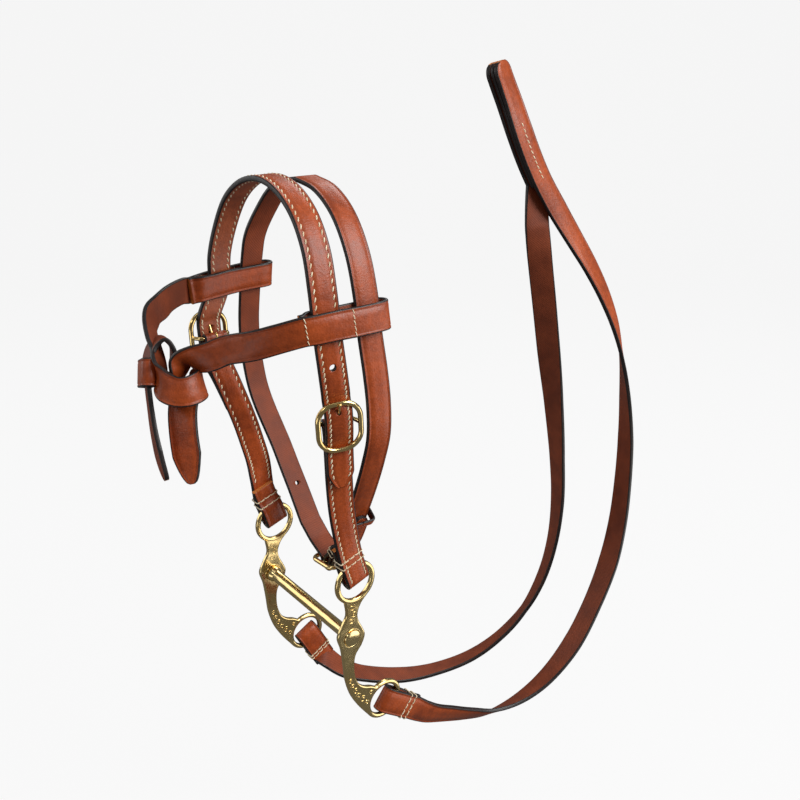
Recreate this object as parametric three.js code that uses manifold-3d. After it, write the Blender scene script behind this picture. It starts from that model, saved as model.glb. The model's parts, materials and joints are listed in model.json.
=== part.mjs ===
// A miniature leather bridle with a fixed curb bit and hand-held reins.
// Millimetres, +Z up. The horse faces -Y and its left (near) side is +X.
// Routes are measured from the middle of the mouthpiece; the finished group is
// shifted so that the origin is where the headpiece rests on the poll.
import * as THREE from 'three';
import { mergeVertices } from 'three/addons/utils/BufferGeometryUtils.js';
import Module from 'manifold-3d';

const wasm = await Module();
wasm.setup();

// ---------------------------------------------------------------- dimensions
const STRAP_WIDTH = 13;
const REIN_WIDTH = 14;
const LAYER = 1.15;            // one layer of the stitched double straps
const LAYER_GAP = 0.25;
const THROAT_THICKNESS = 2;
const BROW_THICKNESS = 1.7;
const REIN_THICKNESS = 2.3;
const AIR = 0.3;               // left between pieces that bear on each other
const BAR_RADIUS = 1;          // bars that a strap folds round
const FRAME_WIRE = 1.25;       // radius of a buckle frame
const PRONG_WIRE = 0.7;
const THREAD = 0.3;            // radius of the binding thread
const BIT_PLATE = 2.4;         // thickness of a bit cheek
const BIT_X = 38.6;            // from the mid-plane to the middle of a cheek
const MOUTHPIECE_RADIUS = 2.9;
const COLLAR_RADIUS = 4.3;
const TENON_RADIUS = 1.7;
const RIVET_RADIUS = 4.6;
const EYE = { y: 3.5, z: 32, outer: 12, inner: 9.3 };
const REIN_RING = { y: 20.5, z: -50.5, outer: 11.7, inner: 9 };
const HOLE_RADIUS = 1.2;
const DOUBLE = 2 * LAYER + LAYER_GAP;
const POLL = new THREE.Vector3(0, -11, 229.5 - DOUBLE);

const LEATHER = { color: 0x8f4020, roughness: 0.5, metalness: 0 };
const LINING = { color: 0x74341f, roughness: 0.7, metalness: 0 };
const BRASS = { color: 0xc9a95c, roughness: 0.22, metalness: 1 };
const LINEN = { color: 0xe6d3ae, roughness: 0.8, metalness: 0 };

// ------------------------------------------------------------------- helpers
const vec = (x, y, z) => new THREE.Vector3(x, y, z);
const sum = (p, ...terms) => {
  const out = p.clone();
  terms.forEach(([direction, amount]) => out.addScaledVector(direction, amount));
  return out;
};

// A station is [point, across]: the middle of a strap's outer face, and the
// direction across the strap towards its front edge.
function mirrored(stations) {
  return stations.map(([p, a]) => [[-p[0], p[1], p[2]], [-a[0], a[1], a[2]]]);
}

// Smooth frames along stations: point, travel, across and outward directions.
function framesAlong(stations, perSpan, side = 1) {
  const points = stations.map(([p]) => vec(...p));
  const across = stations.map(([, a]) => vec(...a));
  const curve = new THREE.CatmullRomCurve3(points, false, 'centripetal');
  const spans = stations.length - 1;
  const count = spans * perSpan;
  const frames = [];
  for (let i = 0; i <= count; i += 1) {
    const t = i / count;
    const span = Math.min(Math.floor(t * spans), spans - 1);
    const a = across[span].clone().lerp(across[span + 1], t * spans - span);
    frames.push(frameFrom(curve.getPoint(t), curve.getTangent(t), a, side));
  }
  return frames;
}

function frameFrom(point, travel, across, side = 1) {
  const t = travel.clone().normalize();
  const a = across.clone().addScaledVector(t, -across.dot(t)).normalize();
  const n = t.clone().cross(a).multiplyScalar(side);
  return { p: point, t, a, n };
}

const shifted = (frames, amount) => frames.map((f) => ({ ...f, p: sum(f.p, [f.n, amount]) }));

// Points on an arc about a centre, from direction u turning towards direction v.
function arc(centre, u, v, radius, across, from, to, steps) {
  const out = [];
  for (let i = 0; i <= steps; i += 1) {
    const angle = THREE.MathUtils.degToRad(from + (to - from) * i / steps);
    const p = sum(centre, [u, radius * Math.cos(angle)], [v, radius * Math.sin(angle)]);
    out.push({ p, a: across.clone() });
  }
  return out;
}

const distances = (path) => {
  const out = [0];
  for (let i = 1; i < path.length; i += 1) out.push(out[i - 1] + path[i].p.distanceTo(path[i - 1].p));
  return out;
};

// A flat strap of rectangular section swept along a middle line.
function strap(path, thickness, widthAt) {
  const run = distances(path);
  const total = run[run.length - 1];
  const rings = path.map((station, i) => {
    const before = path[Math.max(i - 1, 0)].p;
    const after = path[Math.min(i + 1, path.length - 1)].p;
    const f = frameFrom(station.p, after.clone().sub(before), station.a);
    const w = widthAt(run[i], total) / 2;
    const h = thickness / 2;
    return [[w, h], [-w, h], [-w, -h], [w, -h]].map(([x, y]) => sum(f.p, [f.a, x], [f.n, y]));
  });
  return skin(rings, false);
}

// A round wire swept along points; closed wires join their ends.
function wire(points, radius, sides, closed) {
  const count = points.length;
  const rings = points.map((p, i) => {
    const before = closed ? points[(i + count - 1) % count] : points[Math.max(i - 1, 0)];
    const after = closed ? points[(i + 1) % count] : points[Math.min(i + 1, count - 1)];
    const t = after.clone().sub(before).normalize();
    return { p, t };
  });
  let side = Math.abs(rings[0].t.z) > 0.9 ? vec(1, 0, 0) : vec(0, 0, 1);
  const loops = rings.map(({ p, t }) => {
    side = side.clone().addScaledVector(t, -side.dot(t)).normalize();
    const other = t.clone().cross(side);
    const loop = [];
    for (let k = 0; k < sides; k += 1) {
      const angle = 2 * Math.PI * k / sides;
      loop.push(sum(p, [side, radius * Math.cos(angle)], [other, radius * Math.sin(angle)]));
    }
    return loop;
  });
  return skin(loops, closed);
}

// Closed skin over rings of equal length, turned so that it faces outward.
function skin(rings, closed) {
  const sides = rings[0].length;
  const position = rings.flat().flatMap((p) => [p.x, p.y, p.z]);
  const index = [];
  const last = closed ? rings.length : rings.length - 1;
  for (let i = 0; i < last; i += 1) {
    const j = (i + 1) % rings.length;
    for (let k = 0; k < sides; k += 1) {
      const m = (k + 1) % sides;
      index.push(i * sides + k, i * sides + m, j * sides + m);
      index.push(i * sides + k, j * sides + m, j * sides + k);
    }
  }
  if (!closed) {
    const end = (rings.length - 1) * sides;
    for (let k = 1; k < sides - 1; k += 1) {
      index.push(0, k + 1, k);
      index.push(end, end + k, end + k + 1);
    }
  }
  const geometry = new THREE.BufferGeometry();
  geometry.setAttribute('position', new THREE.Float32BufferAttribute(position, 3));
  geometry.setIndex(index);
  return facingOut(geometry);
}

function facingOut(geometry) {
  const p = geometry.attributes.position;
  const index = geometry.index.array;
  const corner = (i) => vec(p.getX(index[i]), p.getY(index[i]), p.getZ(index[i]));
  let volume = 0;
  for (let i = 0; i < index.length; i += 3) {
    volume += corner(i).dot(corner(i + 1).cross(corner(i + 2)));
  }
  if (volume < 0) {
    for (let i = 0; i < index.length; i += 3) {
      [index[i + 1], index[i + 2]] = [index[i + 2], index[i + 1]];
    }
  }
  return geometry;
}

function mirrorX(geometry) {
  const copy = geometry.clone();
  copy.scale(-1, 1, 1);
  return facingOut(copy);
}

function welded(geometry) {
  const bare = geometry.clone();
  bare.deleteAttribute('normal');
  bare.deleteAttribute('uv');
  return facingOut(mergeVertices(bare, 1e-4));
}

function toManifold(geometry) {
  const merged = welded(geometry);
  return new wasm.Manifold(new wasm.Mesh({
    numProp: 3,
    vertProperties: new Float32Array(merged.attributes.position.array),
    triVerts: new Uint32Array(merged.index.array),
  }));
}

function fromManifold(manifold) {
  const mesh = manifold.getMesh();
  const geometry = new THREE.BufferGeometry();
  geometry.setAttribute('position', new THREE.Float32BufferAttribute(mesh.vertProperties, 3));
  geometry.setIndex([...mesh.triVerts]);
  return geometry;
}

const cut = (body, ...tools) => fromManifold(
  tools.reduce((left, tool) => left.subtract(toManifold(tool)), toManifold(body)),
);
const joined = (...bodies) => fromManifold(
  bodies.slice(1).reduce((left, body) => left.add(toManifold(body)), toManifold(bodies[0])),
);

function placed(geometry, x, y, z, at) {
  const copy = geometry.clone();
  copy.applyMatrix4(new THREE.Matrix4().makeBasis(x, y, z).setPosition(at));
  return copy;
}

// A round rod between two points.
function rod(from, to, radius, sides = 14) {
  return wire([from, to], radius, sides, false);
}

function boxIn(frame, size, offset) {
  const box = new THREE.BoxGeometry(...size).translate(...offset);
  return placed(box, frame.a, frame.t, frame.n, frame.p);
}

function roundedRectangle(width, height, radius, perCorner) {
  const out = [];
  const corners = [[1, 1, 0], [-1, 1, 90], [-1, -1, 180], [1, -1, 270]];
  corners.forEach(([sx, sy, start]) => {
    for (let i = 0; i <= perCorner; i += 1) {
      const angle = THREE.MathUtils.degToRad(start + 90 * i / perCorner);
      const x = sx * (width / 2 - radius) + radius * Math.cos(angle);
      const y = sy * (height / 2 - radius) + radius * Math.sin(angle);
      out.push([x, y]);
    }
  });
  return out;
}

// A flat band closed round a stack of straps; it is as tall as `height`.
function bandLoop(frame, inside, thickness, height) {
  const outside = inside.map((size) => size + 2 * thickness);
  const trace = ([w, h], radius) => roundedRectangle(w, h, radius, 3).map(([x, y]) => new THREE.Vector2(x, y));
  const shape = new THREE.Shape(trace(outside, thickness + 0.5));
  shape.holes.push(new THREE.Path(trace(inside, 0.5)));
  const band = new THREE.ExtrudeGeometry(shape, { depth: height, bevelEnabled: false });
  band.translate(0, 0, -height / 2);
  return welded(placed(band, frame.a, frame.n, frame.a.clone().cross(frame.n), frame.p));
}

// One turn of binding thread round a stack of leather.
function threadRing(frame, width, depth) {
  const w = width + 2 * (AIR + THREAD);
  const h = depth + 2 * (AIR + THREAD);
  const points = roundedRectangle(w, h, 0.8, 1).map(([x, y]) => sum(frame.p, [frame.a, x], [frame.n, y]));
  return wire(points, THREAD, 5, true);
}

// ------------------------------------------------------------------ cheek line
const FOLD_HALF = BIT_PLATE / 2 + AIR;                // inside radius of the folds on the bit
const cheekFold = vec(BIT_X, 3.4, 35.4);              // centre of the lower fold
const cheekFoldDown = vec(0, 0.29, -0.957).normalize();
const cheekFoldAcross = vec(0, -0.957, -0.29).normalize();
const cheekFoldOut = vec(1, 0, 0);
const fromFold = (up, out) => sum(cheekFold, [cheekFoldDown, -up], [cheekFoldOut, out]);
const station = (p, a) => [p.toArray(), a.toArray ? a.toArray() : a];

// A cheek line is its buckle bar and the outer face of the cheekpiece from that
// bar to the eye of the bit. Both are written on the +X side; far ones are mirrored.
function cheekLine(bar, middle) {
  const from = (down, out) => sum(bar.p, [bar.t, down], [bar.n, out]);
  const face = framesAlong([
    station(from(0, DOUBLE / 2), bar.a),
    station(from(9.5, DOUBLE / 2), bar.a),
    ...middle,
    station(fromFold(12.5, FOLD_HALF + DOUBLE), cheekFoldAcross),
    station(fromFold(6, FOLD_HALF + DOUBLE), cheekFoldAcross),
    station(fromFold(0, FOLD_HALF + DOUBLE), cheekFoldAcross),
  ], 3, -1);
  return { bar, from, face };
}

const nearLine = cheekLine(
  frameFrom(vec(42.5, -7.8, 124.5), vec(-0.0686, 0.0857, -0.994), vec(-0.3, -1, 0.12), -1),
  [
    [[43.3, -7.33, 106.4], [-0.3, -1, 0.1]],
    [[42.4, -6.35, 91.6], [-0.28, -1, 0.12]],
    [[41.8, -4.85, 75.9], [-0.2, -1, 0.1]],
    [[42, -2.5, 59.6], [-0.1, -1, 0]],
  ],
);
// The far buckle sits higher and the far strap bows forward.
const farLine = cheekLine(
  frameFrom(vec(44.8, -20.7, 145.6), vec(-0.05, -0.02, -1), vec(-0.08, -1, 0), -1),
  [
    [[45.4, -14.8, 118], [0.15, -1, -0.2]],
    [[45.1, -7.9, 97.5], [0.3, -0.95, -0.2]],
    [[44.2, -4.4, 83], [0.3, -0.95, -0.22]],
    [[43.2, -2.2, 71], [0.2, -0.97, -0.25]],
    [[42, -1.8, 59.5], [0, -0.98, -0.2]],
  ],
);

const ease = (x) => {
  const t = Math.min(Math.max(x, 0), 1);
  return t * t * (3 - 2 * t);
};

// One leather strip: up the outside, round the buckle bar, down as the lining,
// with both layers folded through the eye and brought up again inside.
function cheekStrip({ bar, face }) {
  const run = distances(face);
  const barRadius = BAR_RADIUS + 0.25 + LAYER / 2;
  const spread = barRadius - (LAYER + LAYER_GAP) / 2;
  const layer = (depth, sign) => face.map((f, i) => {
    const extra = sign * spread * (1 - ease(run[i] / 7));
    return { p: sum(f.p, [f.n, extra - depth]), a: f.a };
  });
  const outer = layer(LAYER / 2, 1);
  const lining = layer(LAYER * 1.5 + LAYER_GAP, -1);
  const fold = (radius) => arc(
    cheekFold, cheekFoldOut, cheekFoldDown, radius, cheekFoldAcross, 8, 180, 12,
  );
  const rise = (radius) => [4, 8, 11, 14, 18, 22].map((up) => {
    const closer = (2 * FOLD_HALF - 0.5) * ease((up - 8) / 7);
    return { p: fromFold(up, -radius + closer), a: cheekFoldAcross.clone() };
  });
  const small = FOLD_HALF + LAYER / 2;
  const large = small + LAYER + LAYER_GAP;
  const bend = arc(bar.p, bar.n, bar.t, barRadius, bar.a, 352, 188, 10);
  const path = [
    ...rise(large).reverse(), ...fold(large).reverse(),
    ...outer.slice().reverse(), ...bend.slice(1, -1),
    ...lining, ...fold(small), ...rise(small),
  ];
  return strap(path, LAYER, () => STRAP_WIDTH);
}

// ---------------------------------------------------------- headpiece and crown
const nearCrown = [
  [[0, -11, 229.5], [0, -1, 0]],
  [[16, -11.3, 226.3], [-0.03, -1, 0]],
  [[30, -12, 217.3], [-0.07, -1, 0.02]],
  [[40, -13, 203.5], [-0.12, -1, 0.05]],
  [[45.8, -14.3, 187], [-0.16, -1, 0.06]],
  [[48, -14.2, 170], [-0.2, -1, 0.08]],
  [[48.9, -12.8, 153], [-0.25, -1, 0.1]],
  [[48.4, -11.3, 142], [-0.28, -1, 0.11]],
];
const BILLET_HIGH = BAR_RADIUS + 0.25 + LAYER + 0.5 + DOUBLE;   // over the centre bar
const BILLET_LOW = DOUBLE / 2 + AIR + DOUBLE;                   // under the end bars
const END_BAR = 11.75;                                          // from the centre bar
const FRAME_LIFT = BILLET_LOW + AIR + FRAME_WIRE;

function billetStations({ bar, from, face }) {
  const onCheek = (index) => station(sum(face[index].p, [face[index].n, DOUBLE + AIR + 0.05]), face[index].a);
  return [
    station(from(-END_BAR, BILLET_LOW), bar.a),
    station(from(-4, BILLET_HIGH - 0.3), bar.a),
    station(from(0.5, BILLET_HIGH), bar.a),
    station(from(4.5, BILLET_HIGH - 0.4), bar.a),
    station(from(END_BAR, BILLET_LOW + 0.05), bar.a),
    onCheek(5),
    onCheek(7),
    onCheek(9),
  ];
}

const farCrown = [
  ...nearCrown.slice(0, 4),
  [[45.9, -14.9, 187], [-0.16, -1, 0.06]],
  [[48, -15.6, 170.5], [-0.22, -1, 0.06]],
];
const headStations = [
  ...mirrored([...farCrown, ...billetStations(farLine)].slice(1)).reverse(),
  ...nearCrown,
  ...billetStations(nearLine),
];
const headFace = framesAlong(headStations, 2, -1);
const pointed = (width, length, tip) => (s, total) => {
  const left = Math.min(s, total - s);
  return left < length ? tip + (width - tip) * Math.sqrt(Math.min(left / length, 1)) : width;
};

// A prong leaves its bar on the outer side and rests on the top bar.
const PRONG_REST = FRAME_LIFT + FRAME_WIRE + 0.45 + PRONG_WIRE;
const prongTip = ({ from }) => from(-END_BAR - 1.2, PRONG_REST + 0.8);
const CURL = BAR_RADIUS + 0.42 + PRONG_WIRE;
const prongRoot = (bar, down, out) => sum(bar, [out, CURL * 0.966], [down, CURL * 0.259 - 0.3]);
function prongTunnel(root, tip) {
  const along = tip.clone().sub(root).normalize();
  return rod(sum(root, [along, -3]), sum(tip, [along, 3]), PRONG_WIRE + 0.45, 12);
}

function headLayer(depth) {
  const body = strap(shifted(headFace, -depth), LAYER, pointed(STRAP_WIDTH, 8, 2.5));
  const tunnel = (line) => prongTunnel(prongRoot(line.bar.p, line.bar.t, line.bar.n), prongTip(line));
  return cut(body, strapHole(headFace, 153), tunnel(nearLine), mirrorX(tunnel(farLine)));
}

// A round punch through the strap where its outer face is at height z.
function strapHole(frames, z) {
  const f = frames.filter((g) => g.p.x > 0).reduce(
    (best, g) => (Math.abs(g.p.z - z) < Math.abs(best.p.z - z) ? g : best),
  );
  return rod(sum(f.p, [f.n, 3]), sum(f.p, [f.n, -6]), HOLE_RADIUS, 12);
}

// --------------------------------------------------------------- cheek buckles
function cheekBuckleFrame({ bar: { a, t: down, n, p } }) {
  const centre = sum(p, [n, FRAME_LIFT]);
  const ring = wire(
    roundedRectangle(20, 2 * END_BAR, 6.5, 4).map(([x, y]) => sum(centre, [a, x], [down, y])),
    FRAME_WIRE, 8, true,
  );
  const drop = [[10, FRAME_LIFT - 0.2], [9.2, 3], [8, 0.8], [6.8, 0], [-6.8, 0], [-8, 0.8], [-9.2, 3],
    [-10, FRAME_LIFT - 0.2]];
  const centreBar = wire(drop.map(([x, y]) => sum(p, [a, x], [n, y])), BAR_RADIUS, 8, false);
  return joined(ring, centreBar);
}

// The prong curls round its bar and runs straight out to its tip.
function prong({ p: bar, t: down, n: out, a: across }, tip) {
  const curl = arc(bar, out, down, CURL, across, 268, 30, 10).map(({ p }) => p);
  return wire([...curl, prongRoot(bar, down, out), tip], PRONG_WIRE, 8, false);
}

// ---------------------------------------------------------------- throatlatch
const throatBar = vec(5.6, 14.5, 25.7);
const THROAT_WIDTH = 12.5;
const FAR_SWAY = 3.4;                                 // the far side hangs this much farther forward
const nearThroat = [
  [[0, 8.5, 227.5], [0, -1, 0]],
  [[16, 8.5, 224.3], [0, -1, 0]],
  [[30, 8.2, 215], [0, -1, 0]],
  [[41, 7.6, 199.5], [-0.03, -1, 0.02]],
  [[47, 7.2, 182], [-0.06, -1, 0.02]],
  [[50.4, 6.8, 165], [-0.08, -1, 0]],
  [[54, 7, 147], [-0.1, -1, 0]],
  [[55.1, 7.7, 132], [-0.1, -1, 0]],
  [[53.6, 8.6, 116], [-0.1, -1, 0.04]],
  [[48.5, 9, 100], [-0.1, -1, 0.06]],
  [[42, 9.8, 85], [-0.1, -1, 0.08]],
  [[34.5, 11, 70], [-0.08, -1, 0.08]],
  [[26.5, 12.4, 55], [-0.05, -1, 0.05]],
];
const legUp = vec(0.56, 0, 0.829).normalize();        // near leg above its buckle
const legOut = vec(0.829, 0, -0.56).normalize();
const buckleAcross = vec(0, -1, 0);
const onLeg = (up, out) => sum(throatBar, [legUp, up], [legOut, out], [buckleAcross, 0.055 * up]);

const throatPlane = { e: vec(1, 0, 0.08).normalize(), out: vec(0.08, 0, -1).normalize() };
const throatHinge = { p: throatBar, t: throatPlane.e, n: throatPlane.out, a: buckleAcross };
const THROAT_HALF = 9;                                // bar to end bar of the throat buckle
const throatPin = sum(throatBar, [throatPlane.e, -THROAT_HALF - 1.2], [throatPlane.out, FRAME_WIRE + 0.4 + PRONG_WIRE]);

function throatPath() {
  const t = THROAT_THICKNESS;
  const foldRadius = BAR_RADIUS + 0.25 + t / 2;
  const billetRadius = foldRadius + t + AIR;
  const stack = (t + AIR) / 2;
  const plain = (p) => ({ p, a: buckleAcross.clone() });
  const main = [[28, 0.8], [22, 1], [15, stack], [9, stack], [5.5, stack + 0.2], [3, foldRadius - 0.35]];
  const back = [[2.5, -foldRadius + 0.25], [5.5, -stack - 0.2], [9, -stack], [12, -stack], [15, -stack]];
  const fold = arc(throatBar, legOut, legUp, foldRadius, buckleAcross, 0, -180, 12);
  const near = framesAlong(nearThroat, 2, -1).map((f) => ({ p: sum(f.p, [f.n, -t / 2]), a: f.a }));
  const sway = (z) => FAR_SWAY * ease((215 - z) / 25) * ease((z - 75) / 40);
  const far = near.slice(1).map(({ p, a }) => ({
    p: vec(-p.x, p.y - sway(p.z), p.z), a: vec(-a.x, a.y, a.z),
  }));
  const bend = arc(throatBar, legOut, legUp, billetRadius, buckleAcross, -150, -12, 12);
  const approach = [[-17, 13.6, 39.5], [-9, 14.2, 32], [-3.8, 14.4, 29], [-0.6, 14.5, 27.2]];
  const rider = [[4, 4.4], [7, 4.15], [10, 4.15], [15, 4.15], [22, 4], [28, 3.7], [36, 2.8], [41, 2.2], [46.5, 1.6]];
  return [
    ...back.slice().reverse().map(([up, out]) => plain(onLeg(up, out))),
    ...fold.slice().reverse(),
    ...main.slice().reverse().map(([up, out]) => plain(onLeg(up, out))),
    ...near.slice().reverse(), ...far,
    ...approach.map((p) => plain(vec(...p))),
    ...bend, ...rider.map(([up, out]) => plain(onLeg(up, out))),
  ];
}

function throatStrap() {
  const body = strap(throatPath(), THROAT_THICKNESS, (s, total) => (
    total - s < 7 ? 3 + (THROAT_WIDTH - 3) * Math.sqrt((total - s) / 7) : THROAT_WIDTH));
  const { e, out } = throatPlane;
  const slot = boxIn(
    { p: throatBar, a: buckleAcross, t: e, n: out }, [2.3, 7, 7.4], [0, -0.6, 0],
  );
  const tunnel = prongTunnel(prongRoot(throatBar, e, out), throatPin);
  const spare = mirrorX(strapHole(framesAlong(nearThroat, 3, -1), 58));
  return cut(body, slot, tunnel, spare);
}

function throatBuckleFrame() {
  const { e } = throatPlane;
  const ring = wire(
    roundedRectangle(18, 2 * THROAT_HALF, 4, 4).map(([x, y]) => sum(throatBar, [buckleAcross, x], [e, y])),
    FRAME_WIRE, 8, true,
  );
  return joined(ring, rod(sum(throatBar, [buckleAcross, 9]), sum(throatBar, [buckleAcross, -9]), BAR_RADIUS, 10));
}

function throatKeeper() {
  const frame = frameFrom(onLeg(44, 0.35), legUp, vec(-0.06, -1, 0.06), -1);
  return bandLoop(frame, [THROAT_WIDTH + 1.4, 6.8], 1.2, 4.5);
}

// ------------------------------------------------------------ browband and knot
const BROW_TILT = [-0.2, 0, 1];
const browLoop = [
  [[43.6, -25.4, 171.2], [0.02, 0, 1]],
  [[43.9, -23.4, 171.4], [0.02, 0, 1]],
  [[42.6, -20.6, 171.7], [-0.08, 0, 1]],
  [[43.6, -14, 171.8], [-0.14, 0, 1]],
  [[44.5, -7.5, 172.1], [-0.14, 0, 1]],
  [[45.2, 0, 172.3], BROW_TILT],
  [[45.2, 7, 172.5], BROW_TILT],
  [[45.3, 12.6, 172.5], BROW_TILT],
  [[46.6, 15.6, 172.5], BROW_TILT],
  [[48.9, 16.5, 172.5], BROW_TILT],
  [[51.2, 15.4, 172.5], BROW_TILT],
  [[52.3, 12.4, 172.5], BROW_TILT],
  [[52.6, 6.8, 172.5], BROW_TILT],
  [[51.9, -1, 172.3], BROW_TILT],
  [[50.7, -7.8, 172.1], BROW_TILT],
  [[49.6, -14, 171.8], [-0.14, 0, 1]],
  [[48, -20.2, 171.3], [-0.08, 0, 1]],
  [[46.3, -24.6, 171], [0.02, 0, 1]],
];
// The near half dives under its own arch, goes round behind, over the top of
// the far half and down through the keeper as the first tail.
const nearKnot = [
  [[40.3, -33.1, 168.3], [0.1, 0, 1]],
  [[31.5, -41.4, 164.5], [0.1, 0.1, 1]],
  [[20.5, -47.5, 160.9], [-0.18, 0.21, 0.96]],
  [[13.2, -52.4, 158.4], [-0.17, 0.07, 0.98]],
  [[7.8, -55.9, 156.5], [-0.06, -0.34, 0.94]],
  [[3, -58.4, 153.6], [0.18, -0.79, 0.58]],
  [[0.2, -59.4, 149], [0.54, -0.7, 0.46]],
  [[-3.2, -59.4, 146.6], [0.75, -0.47, 0.3]],
  [[-6.4, -58.2, 148.6], [0.88, -0.4, 0.16]],
  [[-8, -57.9, 153], [0.95, -0.26, 0.15]],
  [[-8, -58.6, 159.8], [0.94, -0.31, 0.11]],
  [[-7.6, -62, 165.6], [0.95, -0.31, 0.05]],
  [[-8.4, -67, 167], [0.96, -0.25, 0.15]],
  [[-10.2, -71.8, 162], [0.96, -0.14, 0.23]],
  [[-10.6, -73.9, 156], [0.94, -0.18, 0.3]],
  [[-10, -74.4, 150], [0.91, -0.22, 0.34]],
  [[-7.2, -76, 142.6], [0.9, -0.27, 0.35]],
  [[-3.6, -77, 134.2], [0.9, -0.27, 0.35]],
  [[1.6, -78, 123.3], [0.91, -0.23, 0.34]],
  [[7.8, -78.6, 112.5], [0.93, -0.17, 0.34]],
  [[12.8, -78.6, 105.5], [0.94, -0.11, 0.32]],
];
// The far half comes under the arch, wraps the front and hangs as the second tail.
const farKnot = [
  [[-43.3, -36.2, 172.1], [0.1, 0, 1]],
  [[-37, -46, 171.7], [0.1, -0.1, 1]],
  [[-30, -53.8, 170.6], [0.1, -0.3, 0.9]],
  [[-26.4, -59.6, 168.9], [0.35, -0.58, 0.72]],
  [[-21.4, -63.8, 165.6], [0.45, -0.64, 0.6]],
  [[-15, -66, 160.4], [0.3, -0.7, 0.64]],
  [[-9.2, -66.9, 156.2], [0.15, -0.6, 0.78]],
  [[-3.6, -68.6, 152.4], [0.04, -0.43, 0.9]],
  [[1.6, -70.2, 149.2], [-0.07, 0.19, 0.98]],
  [[7.4, -69.4, 146.6], [-0.23, 0.31, 0.92]],
  [[12.2, -66, 145], [-0.26, 0.27, 0.93]],
  [[14, -60.6, 144.4], [-0.35, 0.16, 0.92]],
  [[11.6, -55.4, 143.4], [-0.41, 0.07, 0.91]],
  [[7, -54, 141.4], [-0.4, 0.3, 0.84]],
  [[3.6, -56.2, 138.6], [0, 0.7, 0.6]],
  [[2.6, -59.6, 134.6], [0.4, 0.86, 0.3]],
  [[4.2, -63, 129.6], [0.6, 0.8, 0.09]],
  [[7.9, -65.9, 122.4], [0.67, 0.74, 0.13]],
  [[12.8, -67.6, 113], [0.65, 0.74, 0.17]],
  [[18.1, -68.7, 102.5], [0.65, 0.74, 0.17]],
];
const KNOT_WIDTH = 7.5;
const TAIL_WIDTH = 11.5;

const FAR_STRETCH = 1.15;                             // the far loop is this much larger
const farLoop = mirrored(browLoop).map(([[x, y, z], a]) => [
  [(x + 46.5) * FAR_STRETCH - 46.5, y * FAR_STRETCH - FAR_SWAY, z], a,
]);

function browHalf(stations, tail, knot) {
  const path = framesAlong(stations, 3).map(({ p, a }) => ({ p, a }));
  return strap(path, BROW_THICKNESS, (s, total) => {
    const left = total - s;
    if (left < 8) return 3 + (TAIL_WIDTH - 3) * Math.sqrt(left / 8);
    const inTail = KNOT_WIDTH + (TAIL_WIDTH - KNOT_WIDTH) * ease((tail - left) / 8 + 0.5);
    return left < (tail + knot) / 2 ? inTail
      : KNOT_WIDTH + (STRAP_WIDTH - KNOT_WIDTH) * ease((left - knot) / 22 + 0.5);
  });
}

function knotKeeper() {
  const frame = frameFrom(vec(-8.9, -75.1, 146.8), vec(0.33, -0.2, -0.9), vec(0.92, -0.23, 0.34));
  return bandLoop(frame, [KNOT_WIDTH + 2.4, BROW_THICKNESS + 1], 1.1, 9);
}

// ------------------------------------------------------------------------- bit
const onRing = (ring, radius, from, to, steps) => {
  const out = [];
  for (let i = 0; i <= steps; i += 1) {
    const angle = from + (to - from) * i / steps;
    out.push(new THREE.Vector2(ring.y + radius * Math.cos(angle), ring.z + radius * Math.sin(angle)));
  }
  return out;
};
const bearing = (ring, y, z) => Math.atan2(z - ring.z, y - ring.y);
const smooth = (points, steps) => (
  new THREE.SplineCurve(points.map(([y, z]) => new THREE.Vector2(y, z))).getPoints(steps)
);

function bitCheek(x) {
  const turn = 2 * Math.PI;
  const outline = [
    ...onRing(EYE, EYE.outer, bearing(EYE, 10.4, 22.2), bearing(EYE, -3.4, 22.2) + turn, 20),
    ...smooth([
      [-3.4, 22.2], [-2.7, 14], [-5.5, 9], [-8.3, 3], [-6.5, -5], [-5.2, -16], [-4.4, -25],
      [-1.5, -36], [3.5, -46], [10.9, -57.2],
    ], 22).slice(1, -1),
    ...onRing(
      REIN_RING, REIN_RING.outer,
      bearing(REIN_RING, 10.9, -57.2), bearing(REIN_RING, 15.6, -39.9), 20,
    ),
    ...smooth([
      [15.6, -39.9], [12, -37.3], [8, -35.3], [4.5, -32], [2.3, -27], [1.4, -20], [2.5, -12],
      [6.5, -7], [8.6, -1.5], [7, 3.5], [4.8, 8.5], [4.2, 13], [6.5, 18.5], [10.4, 22.2],
    ], 28).slice(1, -1),
  ];
  const shape = new THREE.Shape(outline);
  const hole = (ring, radius, steps) => new THREE.Path(onRing(ring, radius, turn, 0, steps).slice(0, -1));
  shape.holes.push(hole(EYE, EYE.inner, 24), hole(REIN_RING, REIN_RING.inner, 24));
  shape.holes.push(hole({ y: 0, z: 0 }, TENON_RADIUS + 0.25, 12));
  const bevel = 0.4;
  const plate = new THREE.ExtrudeGeometry(shape, {
    depth: BIT_PLATE - 2 * bevel, bevelEnabled: true, bevelThickness: bevel,
    bevelSize: bevel, bevelOffset: -bevel, bevelSegments: 1,
  });
  plate.translate(0, 0, -BIT_PLATE / 2 + bevel);
  return welded(placed(plate, vec(0, 1, 0), vec(0, 0, 1), vec(1, 0, 0), vec(x, 0, 0)));
}

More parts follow.
